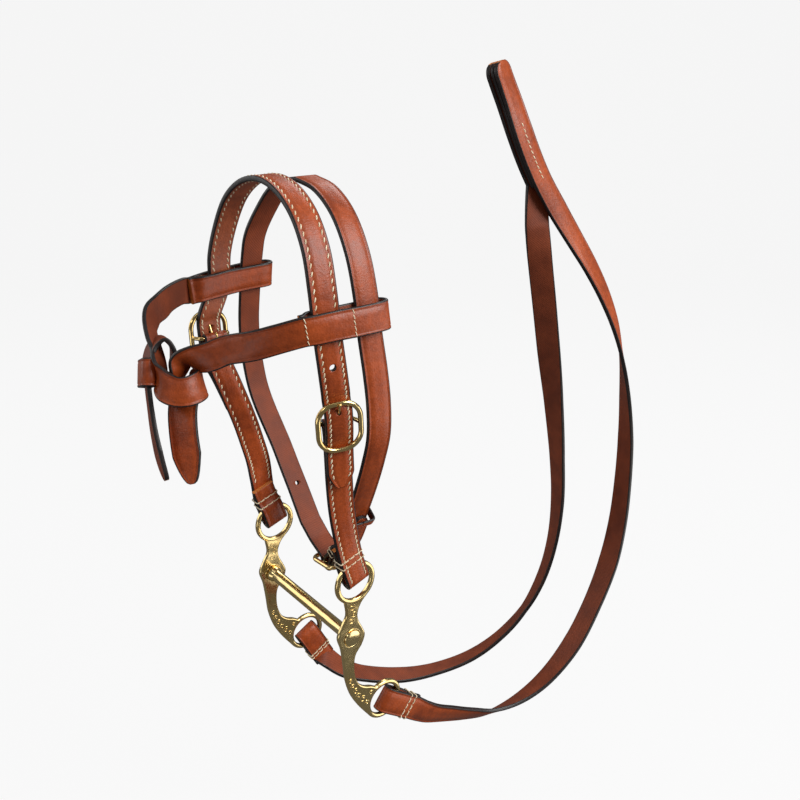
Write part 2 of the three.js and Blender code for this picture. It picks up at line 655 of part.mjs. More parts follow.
// The mouthpiece has a collar inside and a riveted head outside each cheek.
function mouthpiece() {
  const inside = BIT_X - BIT_PLATE / 2 - 0.2;
  const outside = BIT_X + BIT_PLATE / 2 + 0.2;
  const half = [
    [MOUTHPIECE_RADIUS, inside - 3.6], [COLLAR_RADIUS - 0.5, inside - 2], [COLLAR_RADIUS, inside - 1.4],
    [COLLAR_RADIUS, inside], [TENON_RADIUS, inside], [TENON_RADIUS, outside],
    [RIVET_RADIUS, outside], [RIVET_RADIUS, outside + 0.5], [RIVET_RADIUS - 0.5, outside + 0.9], [0, outside + 0.9],
  ];
  const profile = [...half.slice().reverse().map(([r, x]) => [r, -x]), ...half];
  const lathe = new THREE.LatheGeometry(profile.map(([r, x]) => new THREE.Vector2(r, x)), 16);
  return welded(placed(lathe, vec(0, 1, 0), vec(1, 0, 0), vec(0, 0, -1), vec(0, 0, 0)));
}

// ----------------------------------------------------------------------- reins
const nearReinRoute = [
  [[40.2, 46.9, -73], [0.2, 0.6, 0.8]],
  [[39.4, 56, -80.6], [0.3, 0.5, 0.8]],
  [[39, 68, -88], [0.4, 0.4, 0.8]],
  [[40, 85, -97], [0.6, 0.3, 0.8]],
  [[43, 102, -103], [0.7, 0, 0.7]],
  [[46, 124, -103], [0.9, -0.2, 0.5]],
  [[49, 145, -95], [0.9, -0.3, 0.2]],
  [[51.5, 166, -77], [1, -0.1, 0.1]],
  [[51.5, 184, -53], [1, -0.1, 0.1]],
  [[51, 197, -27], [1, 0, 0]],
  [[49.5, 204.5, -1], [1, -0.1, 0.1]],
  [[48, 207.5, 26], [1, -0.2, 0]],
  [[46, 208.5, 54], [1, -0.3, 0.1]],
  [[43, 208, 80], [0.9, -0.5, 0.1]],
  [[40, 205, 106], [0.7, -0.7, -0.1]],
  [[37, 199.5, 127], [0.5, -0.8, -0.1]],
  [[32, 193, 146], [0.4, -0.9, -0.2]],
  [[26.5, 184.5, 164], [0.3, -0.9, -0.3]],
  [[20, 175.5, 181], [0.2, -0.9, -0.4]],
  [[14.5, 165.5, 198], [0.1, -0.8, -0.5]],
];
const handJoint = [
  [[10.4, 157, 213], [0.1, -0.9, -0.4]],
  [[7.6, 150.8, 226], [0.1, -0.9, -0.4]],
  [[4.6, 145.4, 240], [0.1, -1, -0.35]],
  [[0.6, 141, 255], [0.2, -1, -0.35]],
  [[-1.6, 137, 265.5], [0.25, -0.95, -0.35]],
  [[-3, 133, 275], [0.25, -0.9, -0.3]],
];
const farReinRoute = [
  [[-34.4, 33, -75], [0.6, -0.7, -0.35]],
  [[-31.5, 42, -85], [0.7, -0.6, -0.2]],
  [[-26.5, 54.5, -93], [0.9, -0.4, -0.1]],
  [[-17, 78, -100.5], [0.9, -0.4, 0]],
  [[-9, 101, -102.5], [0.9, -0.3, 0.2]],
  [[-1, 126, -99], [0.9, -0.4, 0.3]],
  [[5, 147, -89], [0.8, -0.4, 0.4]],
  [[9.5, 165, -73], [0.7, -0.6, 0.3]],
  [[13.5, 176, -50], [0.8, -0.6, 0]],
  [[16, 181.5, -23], [0.9, -0.5, 0]],
  [[16.5, 183, 8], [0.9, -0.3, 0]],
  [[15, 181, 40], [1, -0.2, 0.1]],
  [[13, 176, 79], [1, 0.1, 0.1]],
  [[12, 169.5, 113], [0.9, 0.5, 0.1]],
  [[11.5, 163, 145], [0.8, 0.6, 0.1]],
  [[11.2, 157.8, 169], [0.7, 0.7, 0.2]],
  [[10.6, 154.4, 188], [0.4, 0.8, 0.3]],
];
const reinEnds = {
  near: { x: BIT_X, u: vec(0, 0.78, -0.62), across: vec(0, 0.62, 0.78) },
  far: { x: -BIT_X, u: vec(0, 0.45, -0.89), across: vec(0, -0.89, -0.45) },
};

function reinFoldCentre({ x, u }) {
  return sum(vec(x, REIN_RING.y, REIN_RING.z), [u, 2]);
}

// A rein end folded through its ring: a short return inside or outside the ring,
// then the running part on the other side.
function reinEnd(end) {
  const centre = reinFoldCentre(end);
  const out = vec(1, 0, 0);
  const back = end.u.clone().multiplyScalar(-1);
  const radius = FOLD_HALF + REIN_THICKNESS / 2;
  const at = (along, off) => ({ p: sum(centre, [end.u, along], [out, off]), a: end.across.clone() });
  const closer = (along) => (2 * FOLD_HALF - 0.5) * ease((along - 12) / 7);
  const short = [27, 23, 19, 15, 12, 8, 4].map((along) => at(along, -radius + closer(along)));
  const fold = arc(centre, out, back, radius, end.across, 180, 0, 10);
  const running = [4, 10, 16, 22].map((along) => at(along, radius));
  return [...short, ...fold, ...running];
}

const jointFrames = framesAlong(handJoint, 3);
const JOINT_STEP = REIN_THICKNESS + AIR;
const ROUND_TIP = 6;
const roundTip = (width) => (s, total) => {
  const left = total - s;
  return left < ROUND_TIP ? 3 + (width - 3) * Math.sqrt(1 - (1 - left / ROUND_TIP) ** 2) : width;
};

function nearRein() {
  const route = framesAlong([...nearReinRoute, ...handJoint], 3).map(({ p, a }) => ({ p, a }));
  return strap([...reinEnd(reinEnds.near), ...route], REIN_THICKNESS, roundTip(REIN_WIDTH));
}

function jointLayer(index) {
  return jointFrames.map((f) => ({ p: sum(f.p, [f.n, -index * JOINT_STEP]), a: f.a.clone() }));
}

function farRein() {
  const route = framesAlong(farReinRoute, 3).map(({ p, a }) => ({ p, a }));
  const joint = jointLayer(2).map(({ p, a }) => ({ p, a: a.multiplyScalar(-1) }));
  return strap([...reinEnd(reinEnds.far), ...route, ...joint], REIN_THICKNESS, roundTip(REIN_WIDTH));
}

// --------------------------------------------------------------------- threads
function cheekThreads() {
  return [[11.4, 1], [15.2, 2.3]].map(([up, closer]) => {
    const frame = frameFrom(fromFold(up, closer / 2), cheekFoldDown, cheekFoldAcross, 1);
    return threadRing(frame, STRAP_WIDTH + 0.5, 2 * (FOLD_HALF + DOUBLE) - closer + 0.5);
  });
}

function reinThreads(end) {
  return [[15.6, 0.9], [19.6, 2.4]].map(([along, closer]) => {
    const centre = sum(reinFoldCentre(end), [end.u, along], [vec(1, 0, 0), closer / 2]);
    const frame = frameFrom(centre, end.u, end.across);
    return threadRing(frame, REIN_WIDTH + 0.5, 2 * (FOLD_HALF + REIN_THICKNESS) - closer + 0.4);
  });
}

function throatThreads() {
  return [8.5, 12].map((up) => {
    const frame = frameFrom(onLeg(up, 0), legUp, buckleAcross);
    return threadRing(frame, THROAT_WIDTH, 2 * THROAT_THICKNESS + AIR);
  });
}

// -------------------------------------------------------------------- assembly
const root = new THREE.Group();
root.name = 'miniature_bridle';

function add(name, geometry, look) {
  const flat = geometry.index ? geometry.toNonIndexed() : geometry.clone();
  flat.deleteAttribute('uv');
  flat.computeVertexNormals();
  const mesh = new THREE.Mesh(flat, new THREE.MeshStandardMaterial(look));
  mesh.name = name;
  root.add(mesh);
}

function addPair(name, geometry, look) {
  add(`near_${name}`, geometry, look);
  add(`far_${name}`, mirrorX(geometry), look);
}

function addSide(side, line, turn) {
  const { bar } = line;
  const slot = boxIn(bar, [2.3, 8, 7.4], [0, 0.6, 0]);
  add(`${side}_cheekpiece`, turn(cut(cheekStrip(line), slot)), LEATHER);
  add(`${side}_cheek_buckle_frame`, turn(cheekBuckleFrame(line)), BRASS);
  add(`${side}_cheek_buckle_prong`, turn(prong(bar, prongTip(line))), BRASS);
}

add('headpiece_outer', headLayer(LAYER / 2), LEATHER);
add('headpiece_lining', headLayer(LAYER * 1.5 + LAYER_GAP), LINING);
addSide('near', nearLine, (geometry) => geometry);
addSide('far', farLine, mirrorX);
add('throatlatch', throatStrap(), LEATHER);
add('throat_buckle_frame', throatBuckleFrame(), BRASS);
add('throat_buckle_prong', prong(throatHinge, throatPin), BRASS);
add('throat_keeper', throatKeeper(), LEATHER);
add('browband_near', browHalf([...browLoop, ...nearKnot], 40, 104), LEATHER);
add('browband_far', browHalf([...farLoop, ...farKnot], 40, 108), LEATHER);
add('knot_keeper', knotKeeper(), LEATHER);
addPair('bit_cheek', bitCheek(BIT_X), BRASS);
add('bit_mouthpiece', mouthpiece(), BRASS);
add('near_rein', nearRein(), LEATHER);
add('far_rein', farRein(), LEATHER);
add('rein_middle_layer', strap(jointLayer(1), REIN_THICKNESS - 0.2, roundTip(REIN_WIDTH - 1)), LINING);
cheekThreads().forEach((ring, i) => addPair(`cheek_thread_${i + 1}`, ring, LINEN));
reinThreads(reinEnds.near).forEach((ring, i) => add(`near_rein_thread_${i + 1}`, ring, LINEN));
reinThreads(reinEnds.far).forEach((ring, i) => add(`far_rein_thread_${i + 1}`, ring, LINEN));
throatThreads().forEach((ring, i) => add(`throat_thread_${i + 1}`, ring, LINEN));

root.position.copy(POLL).multiplyScalar(-1);
export default root;
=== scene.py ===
"""A miniature leather bridle with a brass curb bit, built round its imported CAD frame.

Routes are written in millimetres from the middle of the mouthpiece, as in the CAD model,
and place() turns them into metres in the row frame, whose origin is under the poll.
"""
import json
import math

import bpy
import bmesh
from mathutils import Matrix, Vector

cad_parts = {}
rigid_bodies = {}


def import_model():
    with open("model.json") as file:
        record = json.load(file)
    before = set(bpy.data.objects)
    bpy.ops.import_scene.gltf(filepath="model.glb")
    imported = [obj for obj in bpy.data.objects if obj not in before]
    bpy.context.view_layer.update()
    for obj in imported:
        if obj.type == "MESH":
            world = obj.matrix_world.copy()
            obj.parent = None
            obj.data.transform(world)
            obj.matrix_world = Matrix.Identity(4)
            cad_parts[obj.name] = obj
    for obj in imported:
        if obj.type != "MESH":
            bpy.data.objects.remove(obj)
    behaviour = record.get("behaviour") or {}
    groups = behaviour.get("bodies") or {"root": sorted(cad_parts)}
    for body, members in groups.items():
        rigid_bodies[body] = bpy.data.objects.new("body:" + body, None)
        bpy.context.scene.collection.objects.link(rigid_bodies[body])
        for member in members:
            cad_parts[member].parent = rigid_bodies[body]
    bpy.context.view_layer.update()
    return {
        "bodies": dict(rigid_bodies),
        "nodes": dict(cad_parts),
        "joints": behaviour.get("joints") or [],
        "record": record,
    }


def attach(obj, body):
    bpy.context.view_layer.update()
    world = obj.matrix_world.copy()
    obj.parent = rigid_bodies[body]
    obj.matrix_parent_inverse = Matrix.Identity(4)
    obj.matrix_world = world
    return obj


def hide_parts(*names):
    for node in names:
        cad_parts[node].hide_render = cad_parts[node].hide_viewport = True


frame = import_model()

# ---- dimensions, mm
STRAP_WIDTH = 13.0
REIN_WIDTH = 14.0
LAYER = 1.15
LAYER_GAP = 0.25
DOUBLE = 2 * LAYER + LAYER_GAP
THROAT_THICKNESS = 2.0
THROAT_WIDTH = 12.5
BROW_THICKNESS = 2.0
REIN_THICKNESS = 2.3
AIR = 0.3
BAR_RADIUS = 1.0
BAR_AIR = 0.25                          # round a buckle's bar
FRAME_WIRE = 1.25
PRONG_WIRE = 0.7
THREAD = 0.33
BIT_PLATE = 2.4
CHEEK_BEVEL = 0.75
BIT_X = 38.6
FAR_SWAY = 3.4                          # the far side hangs this much farther forward
FAR_STRETCH = 1.15                      # and its browband loop is this much larger
FOLD_HALF = BIT_PLATE / 2 + AIR
EYE = (3.5, 32.0, 12.0, 9.3)            # y, z, outer radius, inner radius
REIN_RING = (20.5, -50.5, 11.7, 9.0)
STITCH_PITCH = 2.5
STITCH_LENGTH = 2.45
STITCH_RADIUS = 0.31
STITCH_INSET = 2.1                      # from the strap's edge
STITCH_SLANT = 0.36
STITCH_LIFT = 0.06                      # over the leather
STITCH_DUE = STITCH_PITCH - 0.2         # the next one is at the first frame past this
PLAIN_CREASE = 1.5
CORNER = 0.6                            # rounding of a strap's edges
PER_SPAN = 10                           # frames between two stations of a route
POLL = Vector((0.0, -11.0, 229.5 - DOUBLE))
MM = 0.001


def place(p):
    return (Vector(p) - POLL) * MM


def show(obj):
    bpy.context.scene.collection.objects.link(obj)


# ---- camera
VIEW_RIGHT = Vector((0.629, 0.777, 0.0))
VIEW_UP = Vector((-0.2911, 0.2357, 0.9272))
VIEW_BACK = Vector((0.7205, -0.5835, 0.3746))


def make_camera():
    data = bpy.data.cameras.new("camera")
    data.sensor_width = 36.0
    data.lens = 38.97
    data.clip_start = 0.01
    camera = bpy.data.objects.new("camera", data)
    at = place((340.6, -211.8, 280.3))
    turn = Matrix((VIEW_RIGHT, VIEW_UP, VIEW_BACK)).transposed().to_4x4()
    camera.matrix_world = Matrix.Translation(at) @ turn
    show(camera)
    bpy.context.scene.camera = camera


# ---- shader helpers
class Shader:
    """A material being wired. An input is given as a value or as the socket that feeds it."""

    def __init__(self, name, **values):
        self.material = bpy.data.materials.new(name)
        self.material.use_nodes = True
        self.tree = self.material.node_tree
        self.bsdf = self.tree.nodes["Principled BSDF"]
        self.feed(self.bsdf, {key.replace("_", " "): value for key, value in values.items()})

    def feed(self, node, inputs):
        for key, value in inputs.items():
            if isinstance(value, bpy.types.NodeSocket):
                self.tree.links.new(value, node.inputs[key])
            else:
                node.inputs[key].default_value = value

    def add(self, kind, inputs, **settings):
        node = self.tree.nodes.new(kind)
        for key, value in settings.items():
            setattr(node, key, value)
        self.feed(node, inputs)
        return node

    def coords(self, kind="Object", scale=(1, 1, 1)):
        source = self.add("ShaderNodeTexCoord", {}).outputs[kind]
        return self.add("ShaderNodeMapping", {"Vector": source, "Scale": scale}).outputs["Vector"]

    def noise(self, vector, scale, detail=4.0, rough=0.55):
        inputs = {"Vector": vector, "Scale": scale, "Detail": detail, "Roughness": rough}
        return self.add("ShaderNodeTexNoise", inputs).outputs["Fac"]

    def wave(self, vector, scale, distortion=0.0, detail=2.0):
        inputs = {"Vector": vector, "Scale": scale, "Distortion": distortion, "Detail": detail}
        bands = {"wave_type": "BANDS", "bands_direction": "DIAGONAL"}
        return self.add("ShaderNodeTexWave", inputs, **bands).outputs["Fac"]

    def ramp(self, factor, *stops):
        node = self.add("ShaderNodeValToRGB", {"Fac": factor})
        elements = node.color_ramp.elements
        while len(elements) < len(stops):
            elements.new(0.5)
        for element, (position, colour) in zip(elements, stops):
            element.position = position
            element.color = (*colour, 1.0)
        return node.outputs["Color"]

    def span(self, factor, low, high):
        inputs = {"Value": factor, "To Min": low, "To Max": high}
        return self.add("ShaderNodeMapRange", inputs).outputs["Result"]

    def mix(self, factor, a, b, mode="MIX"):
        a, b = (c if isinstance(c, bpy.types.NodeSocket) else (*c, 1.0) for c in (a, b))
        inputs = {0: factor, 6: a, 7: b}    # 6 and 7 are the node's colour sockets
        return self.add("ShaderNodeMix", inputs, data_type="RGBA", blend_type=mode).outputs[2]

    def bump(self, height, strength, distance, base=None):
        inputs = {"Height": height, "Strength": strength, "Distance": distance}
        if base:
            inputs["Normal"] = base
        return self.add("ShaderNodeBump", inputs).outputs["Normal"]

    def finish(self, colour, roughness, normal):
        self.feed(self.bsdf, {"Base Color": colour, "Roughness": roughness, "Normal": normal})
        return self.material


def grain_leather(name, dark, mid, light, gloss=0.36):
    """Smooth waxed leather: pores, faint wrinkles and darker burnished edges."""
    s = Shader(name, Coat_Weight=0.06, Coat_Roughness=0.3, Specular_IOR_Level=0.36)
    where = s.coords("Object")
    cloud = s.noise(where, 55.0, 5.0)
    fibre = s.noise(where, 420.0, 4.0, 0.6)
    base = s.ramp(cloud, (0.22, dark), (0.5, mid), (0.8, light))
    edge = s.add("ShaderNodeAttribute", {}, attribute_name="edge")
    rim = s.ramp(edge.outputs["Fac"], (0.72, (0.0, 0.0, 0.0)), (1.0, (0.75, 0.75, 0.75)))
    base = s.mix(rim, base, dark)
    speck = s.ramp(fibre, (0.42, (0.82, 0.82, 0.82)), (0.6, (1.0, 1.0, 1.0)))
    base = s.mix(1.0, base, speck, "MULTIPLY")
    pores = s.add("ShaderNodeTexVoronoi", {"Vector": where, "Scale": 1150.0}, feature="SMOOTH_F1")
    normal = s.bump(pores.outputs["Distance"], 0.42, 0.0002)
    normal = s.bump(s.noise(s.coords("UV", (0.08, 0.35, 1.0)), 3.0, 5.0), 0.16, 0.0003, normal)
    return s.finish(base, s.span(fibre, gloss - 0.06, gloss + 0.16), normal)


def flesh_leather(name, dark, light):
    """The matt inner side: a fine diagonal hatch with short raised fibres."""
    s = Shader(name, Specular_IOR_Level=0.3)
    where = s.coords("Object")
    hatch = s.wave(s.coords("UV"), 0.45, 2.5, 3.0)
    cloud = s.noise(where, 90.0, 6.0)
    base = s.ramp(cloud, (0.3, dark), (0.7, light))
    tone = s.ramp(hatch, (0.2, (0.72, 0.68, 0.66)), (0.8, (1.0, 1.0, 1.0)))
    base = s.mix(1.0, base, tone, "MULTIPLY")
    normal = s.bump(hatch, 0.3, 0.00012)
    normal = s.bump(s.noise(where, 900.0, 5.0, 0.65), 0.3, 0.00012, normal)
    return s.finish(base, s.span(cloud, 0.5, 0.66), normal)


def painted_edge(name):
    """Black edge paint over the cut fibres, worn a little brown."""
    s = Shader(name, Specular_IOR_Level=0.4)
    where = s.coords("Object")
    wear = s.noise(where, 140.0, 6.0, 0.65)
    black, dull, brown = (0.008, 0.006, 0.006), (0.016, 0.010, 0.009), (0.05, 0.02, 0.013)
    base = s.ramp(wear, (0.3, black), (0.62, dull), (0.78, brown))
    return s.finish(base, s.span(wear, 0.3, 0.5), s.bump(wear, 0.25, 0.0002))


def raw_end(name):
    """A cut end of undyed fibres."""
    s = Shader(name, Specular_IOR_Level=0.3)
    wear = s.noise(s.coords("Object"), 600.0, 5.0)
    base = s.ramp(wear, (0.3, (0.42, 0.12, 0.02)), (0.7, (0.75, 0.26, 0.05)))
    return s.finish(base, s.span(wear, 0.6, 0.8), s.bump(wear, 0.4, 0.0002))


def linen(name):
    """Waxed linen thread with the lay of its plies."""
    s = Shader(name, Specular_IOR_Level=0.35, Sheen_Weight=0.2)
    where = s.coords("Object")
    ply = s.wave(where, 900.0)
    tone = s.noise(where, 300.0, 3.0)
    base = s.ramp(tone, (0.3, (0.62, 0.48, 0.29)), (0.7, (0.88, 0.77, 0.56)))
    return s.finish(base, s.span(tone, 0.55, 0.75), s.bump(ply, 0.4, 0.0001))


def brass(name, scratch=0.05):
    """Polished brass, slightly uneven, with handling marks and a deeper tone in patches."""
    s = Shader(name, Metallic=1.0)
    where = s.coords("Object")
    tone = s.noise(where, 60.0, 4.0)
    base = s.ramp(tone, (0.3, (0.72, 0.50, 0.19)), (0.7, (0.88, 0.69, 0.33)))
    smear = s.noise(s.coords("Object", (1.0, 1.0, 7.0)), 260.0, 5.0, 0.6)
    hammered = s.bump(s.noise(where, 90.0, 1.0), 0.3, 0.0016)
    return s.finish(base, s.span(smear, 0.10, 0.24), s.bump(smear, scratch, 0.0002, hammered))


LEATHER = grain_leather("leather_grain", (0.20, 0.030, 0.005), (0.36, 0.060, 0.010), (0.45, 0.080, 0.014))
TAN_DARK = grain_leather(
    "leather_grain_deep", (0.22, 0.050, 0.017), (0.37, 0.088, 0.032), (0.46, 0.118, 0.046), 0.42,
)
FLESH = flesh_leather("leather_flesh", (0.17, 0.034, 0.011), (0.27, 0.056, 0.018))
EDGE = painted_edge("leather_edge")
RAW = raw_end("leather_raw_end")
LINEN = linen("linen_thread")
BRASS = brass("polished_brass")
BRASS_CUT = brass("engraved_brass", 0.15)


# ---- path helpers
class Station:
    """A point of a route with its travel, across and outward directions."""

    def __init__(self, p, travel, across, side=1):
        self.p = Vector(p)
        self.t = Vector(travel).normalized()
        across = Vector(across)
        self.a = (across - self.t * across.dot(self.t)).normalized()
        self.n = self.t.cross(self.a) * side
        self.side = side
        self.s = 0.0

    def at(self, a=0.0, n=0.0, t=0.0):
        return self.p + self.a * a + self.n * n + self.t * t


def through(*rows):
    """Stations (point, across) of a route, from rows of the two in millimetres."""
    return [(row[:3], row[3:]) for row in rows]


def flipped(v):
    return Vector((-v[0], v[1], v[2]))


def mirrored(stations):
    return [(flipped(p), flipped(a)) for p, a in stations]


def curve_points(points, per_span):
    """Points and tangents of a centripetal Catmull-Rom curve through a list of points."""
    pts = [Vector(p) for p in points]
    pts = [pts[0] * 2 - pts[1]] + pts + [pts[-1] * 2 - pts[-2]]
    out = []
    for i in range(1, len(pts) - 2):
        p0, p1, p2, p3 = pts[i - 1:i + 3]
        d0, d1, d2 = (max((b - a).length ** 0.5, 1e-4) for a, b in ((p0, p1), (p1, p2), (p2, p3)))
        m1 = ((p1 - p0) / d0 - (p2 - p0) / (d0 + d1) + (p2 - p1) / d1) * d1
        m2 = ((p2 - p1) / d1 - (p3 - p1) / (d1 + d2) + (p3 - p2) / d2) * d1
        c3 = (p1 - p2) * 2 + m1 + m2
        c2 = (p2 - p1) * 3 - m1 * 2 - m2
        steps = per_span + (1 if i == len(pts) - 3 else 0)
        for k in range(steps):
            t = k / per_span
            out.append((((c3 * t + c2) * t + m1) * t + p1, (c3 * (3 * t) + c2 * 2) * t + m1))
    return out


def route(stations, side=1):
    """Frames along (point, across) stations, each with its distance from the start."""
    spans = len(stations) - 1
    out = []
    for i, (p, t) in enumerate(curve_points([s[0] for s in stations], PER_SPAN)):
        k = min(i // PER_SPAN, spans - 1)
        a = Vector(stations[k][1]).lerp(Vector(stations[k + 1][1]), i / PER_SPAN - k)
        out.append(Station(p, t, a, side))
    for f, g in zip(out, out[1:]):
        g.s = f.s + (g.p - f.p).length
    return out


def mirror_route(frames):
    out = []
    for f in frames:
        g = Station(flipped(f.p), flipped(f.t), flipped(f.a), -f.side)
        g.s = f.s
        out.append(g)
    return out


def line_of(frames, lift=0.0):
    return [(f.at(0, lift), f.a) for f in frames]


def arc(centre, u, v, radius, across, start, end, steps):
    out = []
    for i in range(steps + 1):
        angle = math.radians(start + (end - start) * i / steps)
        out.append((centre + u * radius * math.cos(angle) + v * radius * math.sin(angle), Vector(across)))
    return out


def ease(x):
    t = min(max(x, 0.0), 1.0)
    return t * t * (3 - 2 * t)


def relaxed(values, rounds=2):
    """Takes the small kinks out of a row of vectors, leaving its two ends."""
    for _ in range(rounds):
        inner = [(a + b * 2 + c) / 4 for a, b, c in zip(values, values[1:], values[2:])]
        values = [values[0]] + inner + [values[-1]]
    return values


def resample(path, side=1, step=0.75):
    """Even frames along a list of (point, across)."""
    pts = [Vector(p) for p, _ in path]
    runs = [0.0]
    for a, b in zip(pts, pts[1:]):
        runs.append(runs[-1] + (b - a).length)
    total = runs[-1]
    count = max(int(total / step), 8)
    places, acrosses = [], []
    j = 0
    for i in range(count + 1):
        s = total * i / count
        while j < len(runs) - 2 and runs[j + 1] < s:
            j += 1
        gap = runs[j + 1] - runs[j]
        f = (s - runs[j]) / gap if gap > 1e-9 else 0.0
        places.append(pts[j].lerp(pts[j + 1], f))
        acrosses.append(Vector(path[j][1]).lerp(Vector(path[j + 1][1]), f))
    places = relaxed(places)
    acrosses = relaxed(acrosses, 4)
    frames = []
    for i in range(count + 1):
        travel = places[min(i + 1, count)] - places[max(i - 1, 0)]
        frames.append(Station(places[i], travel, acrosses[i], side))
        frames[-1].s = total * i / count
    return frames, total


# ---- mesh helpers
def new_object(name, mesh, body, nodes=(), slot="leather"):
    obj = bpy.data.objects.new(name, mesh)
    show(obj)
    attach(obj, body)
    if nodes:
        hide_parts(*nodes)
    return obj


def bridge(bm, rings, closed=False):
    """Smooth faces from each ring of vertices to the next."""
    for a, b in list(zip(rings, rings[1:])) + ([(rings[-1], rings[0])] if closed else []):
        for k in range(len(a)):
            m = (k + 1) % len(a)
            bm.faces.new((a[k], b[k], b[m], a[m])).smooth = True


def finished(bm, name, *materials):
    """The mesh of a bmesh, with its faces turned outward."""
    bmesh.ops.recalc_face_normals(bm, faces=bm.faces)
    mesh = bpy.data.meshes.new(name)
    bm.to_mesh(mesh)
    bm.free()
    for material in materials:
        mesh.materials.append(material)
    return mesh


def turns(count):
    """Evenly spaced angles round a circle."""
    return [math.tau * k / count for k in range(count)]


GROOVE_DEPTH = 0.24
GROOVE_HALF = 0.36


def section(width, thickness, crease):
    """A strap's section as (across, outward, kind): 0 on the grain, 1 on an edge, 2 on the flesh."""
    w, h = width / 2, thickness / 2
    r = min(CORNER, 0.48 * thickness, 0.3 * w)
    inset = min(crease, 0.5 * w)
    groove = min(GROOVE_HALF, 0.15 * w)
    bottom_of_groove = (-w + inset, h - GROOVE_DEPTH)
    half = [(-w + r, h), (-w + inset - groove, h), bottom_of_groove, (-w + inset + groove, h), (-w * 0.25, h)]
    top = [(x, y, 0) for x, y in half] + [(-x, y, 0) for x, y in reversed(half)]
    bends = [math.radians(22.5 * k) for k in (3, 2, 1, 0)]
    corner = [(w - r + r * math.cos(a), h - r + r * math.sin(a)) for a in bends]
    right = [(x, y, 1) for x, y in corner] + [(x + 0.02, -y, 1) for x, y in reversed(corner)]
    bottom = [(x, -h, 2) for x in (w - r, w * 0.5, 0.0, -w * 0.5, -w + r)]
    left = [(-x, -y, 1) for x, y, _ in right]
    return top + right + bottom + left


def strap(name, path, thickness, width_at, body, nodes=(), **options):
    """A strap with painted edges, a crease or stitch groove near each edge and two leather faces."""
    side = options.get("side", 1)
    crease = options.get("crease", PLAIN_CREASE)
    frames, total = resample(path, side)
    bm = bmesh.new()
    uv = bm.loops.layers.uv.new("run")
    edge = bm.verts.layers.float.new("edge")
    rings = []
    for f in frames:
        width = width_at(f.s, total)
        ring = []
        for x, y, _ in section(width, thickness, crease):
            vertex = bm.verts.new(place(f.at(x, y)))
            vertex[edge] = min(2 * abs(x) / width, 1.0)
            ring.append((vertex, (x, f.s)))
        rings.append(ring)
    kinds = [k for _, _, k in section(10.0, thickness, crease)]
    count = len(kinds)
    for ring, after in zip(rings, rings[1:]):
        for k in range(count):
            m = (k + 1) % count
            corners = (ring[k], after[k], after[m], ring[m])
            face = bm.faces.new([vertex for vertex, _ in corners])
            face.material_index = kinds[k] if kinds[k] == kinds[m] else 1
            face.smooth = True
            for loop, (_, where) in zip(face.loops, corners):
                loop[uv].uv = where
    for ring in (rings[0], rings[-1]):
        bm.faces.new([vertex for vertex, _ in ring]).material_index = 3
    faces = options.get("faces", (LEATHER, EDGE, FLESH))
    mesh = finished(bm, name, *faces, options.get("ends", faces[1]))
    return new_object(name, mesh, body, nodes)


def wires(name, paths, radius, body, material, nodes=(), **options):
    """Round wires along lists of points, joined in one mesh; open ones have domed ends."""
    closed = options.get("closed", False)
    sides = options.get("sides", 14)
    bm = bmesh.new()
    for path in paths:
        pts = [Vector(p) for p in path]
        count = len(pts)
        start = (pts[1] - pts[0]).normalized()
        across = Vector((1, 0, 0)) if abs(start.z) > 0.9 else Vector((0, 0, 1))
        run = [0.0]
        for a, b in zip(pts, pts[1:]):
            run.append(run[-1] + (b - a).length)
        rings = []
        for i, p in enumerate(pts):
            before = pts[i - 1] if (closed or i) else p
            after = pts[(i + 1) % count] if (closed or i < count - 1) else p
            t = (after - before).normalized()
            across = (across - t * across.dot(t)).normalized()
            other = t.cross(across)
            from_end = min(run[i], run[-1] - run[i]) / radius
            r = radius
            if not closed and from_end < 1:
                r = radius * max(0.2, math.sqrt(1 - (1 - from_end) ** 2))
            around = [p + across * r * math.cos(q) + other * r * math.sin(q) for q in turns(sides)]
            rings.append([bm.verts.new(place(q)) for q in around])
        bridge(bm, rings, closed)
        if not closed:
            bm.faces.new(rings[0][::-1]).smooth = True
            bm.faces.new(rings[-1]).smooth = True
    return new_object(name, finished(bm, name, material), body, nodes, options.get("slot", "brass"))


def dense(points, step=0.4, closed=False):
    """The same line with extra points on its straight stretches."""
    pts = [Vector(p) for p in points]
    ring = pts + ([pts[0]] if closed else [])
    out = []
    for a, b in zip(ring, ring[1:]):
        count = max(int((b - a).length / step), 1)
        out += [a.lerp(b, k / count) for k in range(count)]
    return out if closed else out + [ring[-1]]


def rounded_rectangle(width, height, radius, per_corner=8):
    out = []
    for sx, sy, start in ((1, 1, 0), (-1, 1, 90), (-1, -1, 180), (1, -1, 270)):
        for i in range(per_corner + 1):
            angle = math.radians(start + 90 * i / per_corner)
            x = sx * (width / 2 - radius) + radius * math.cos(angle)
            y = sy * (height / 2 - radius) + radius * math.sin(angle)
            out.append((x, y))
    return out


DASH_PITCH = 3.6
DASH_GAP = 0.18                         # half of the sunk part, as a share of the pitch


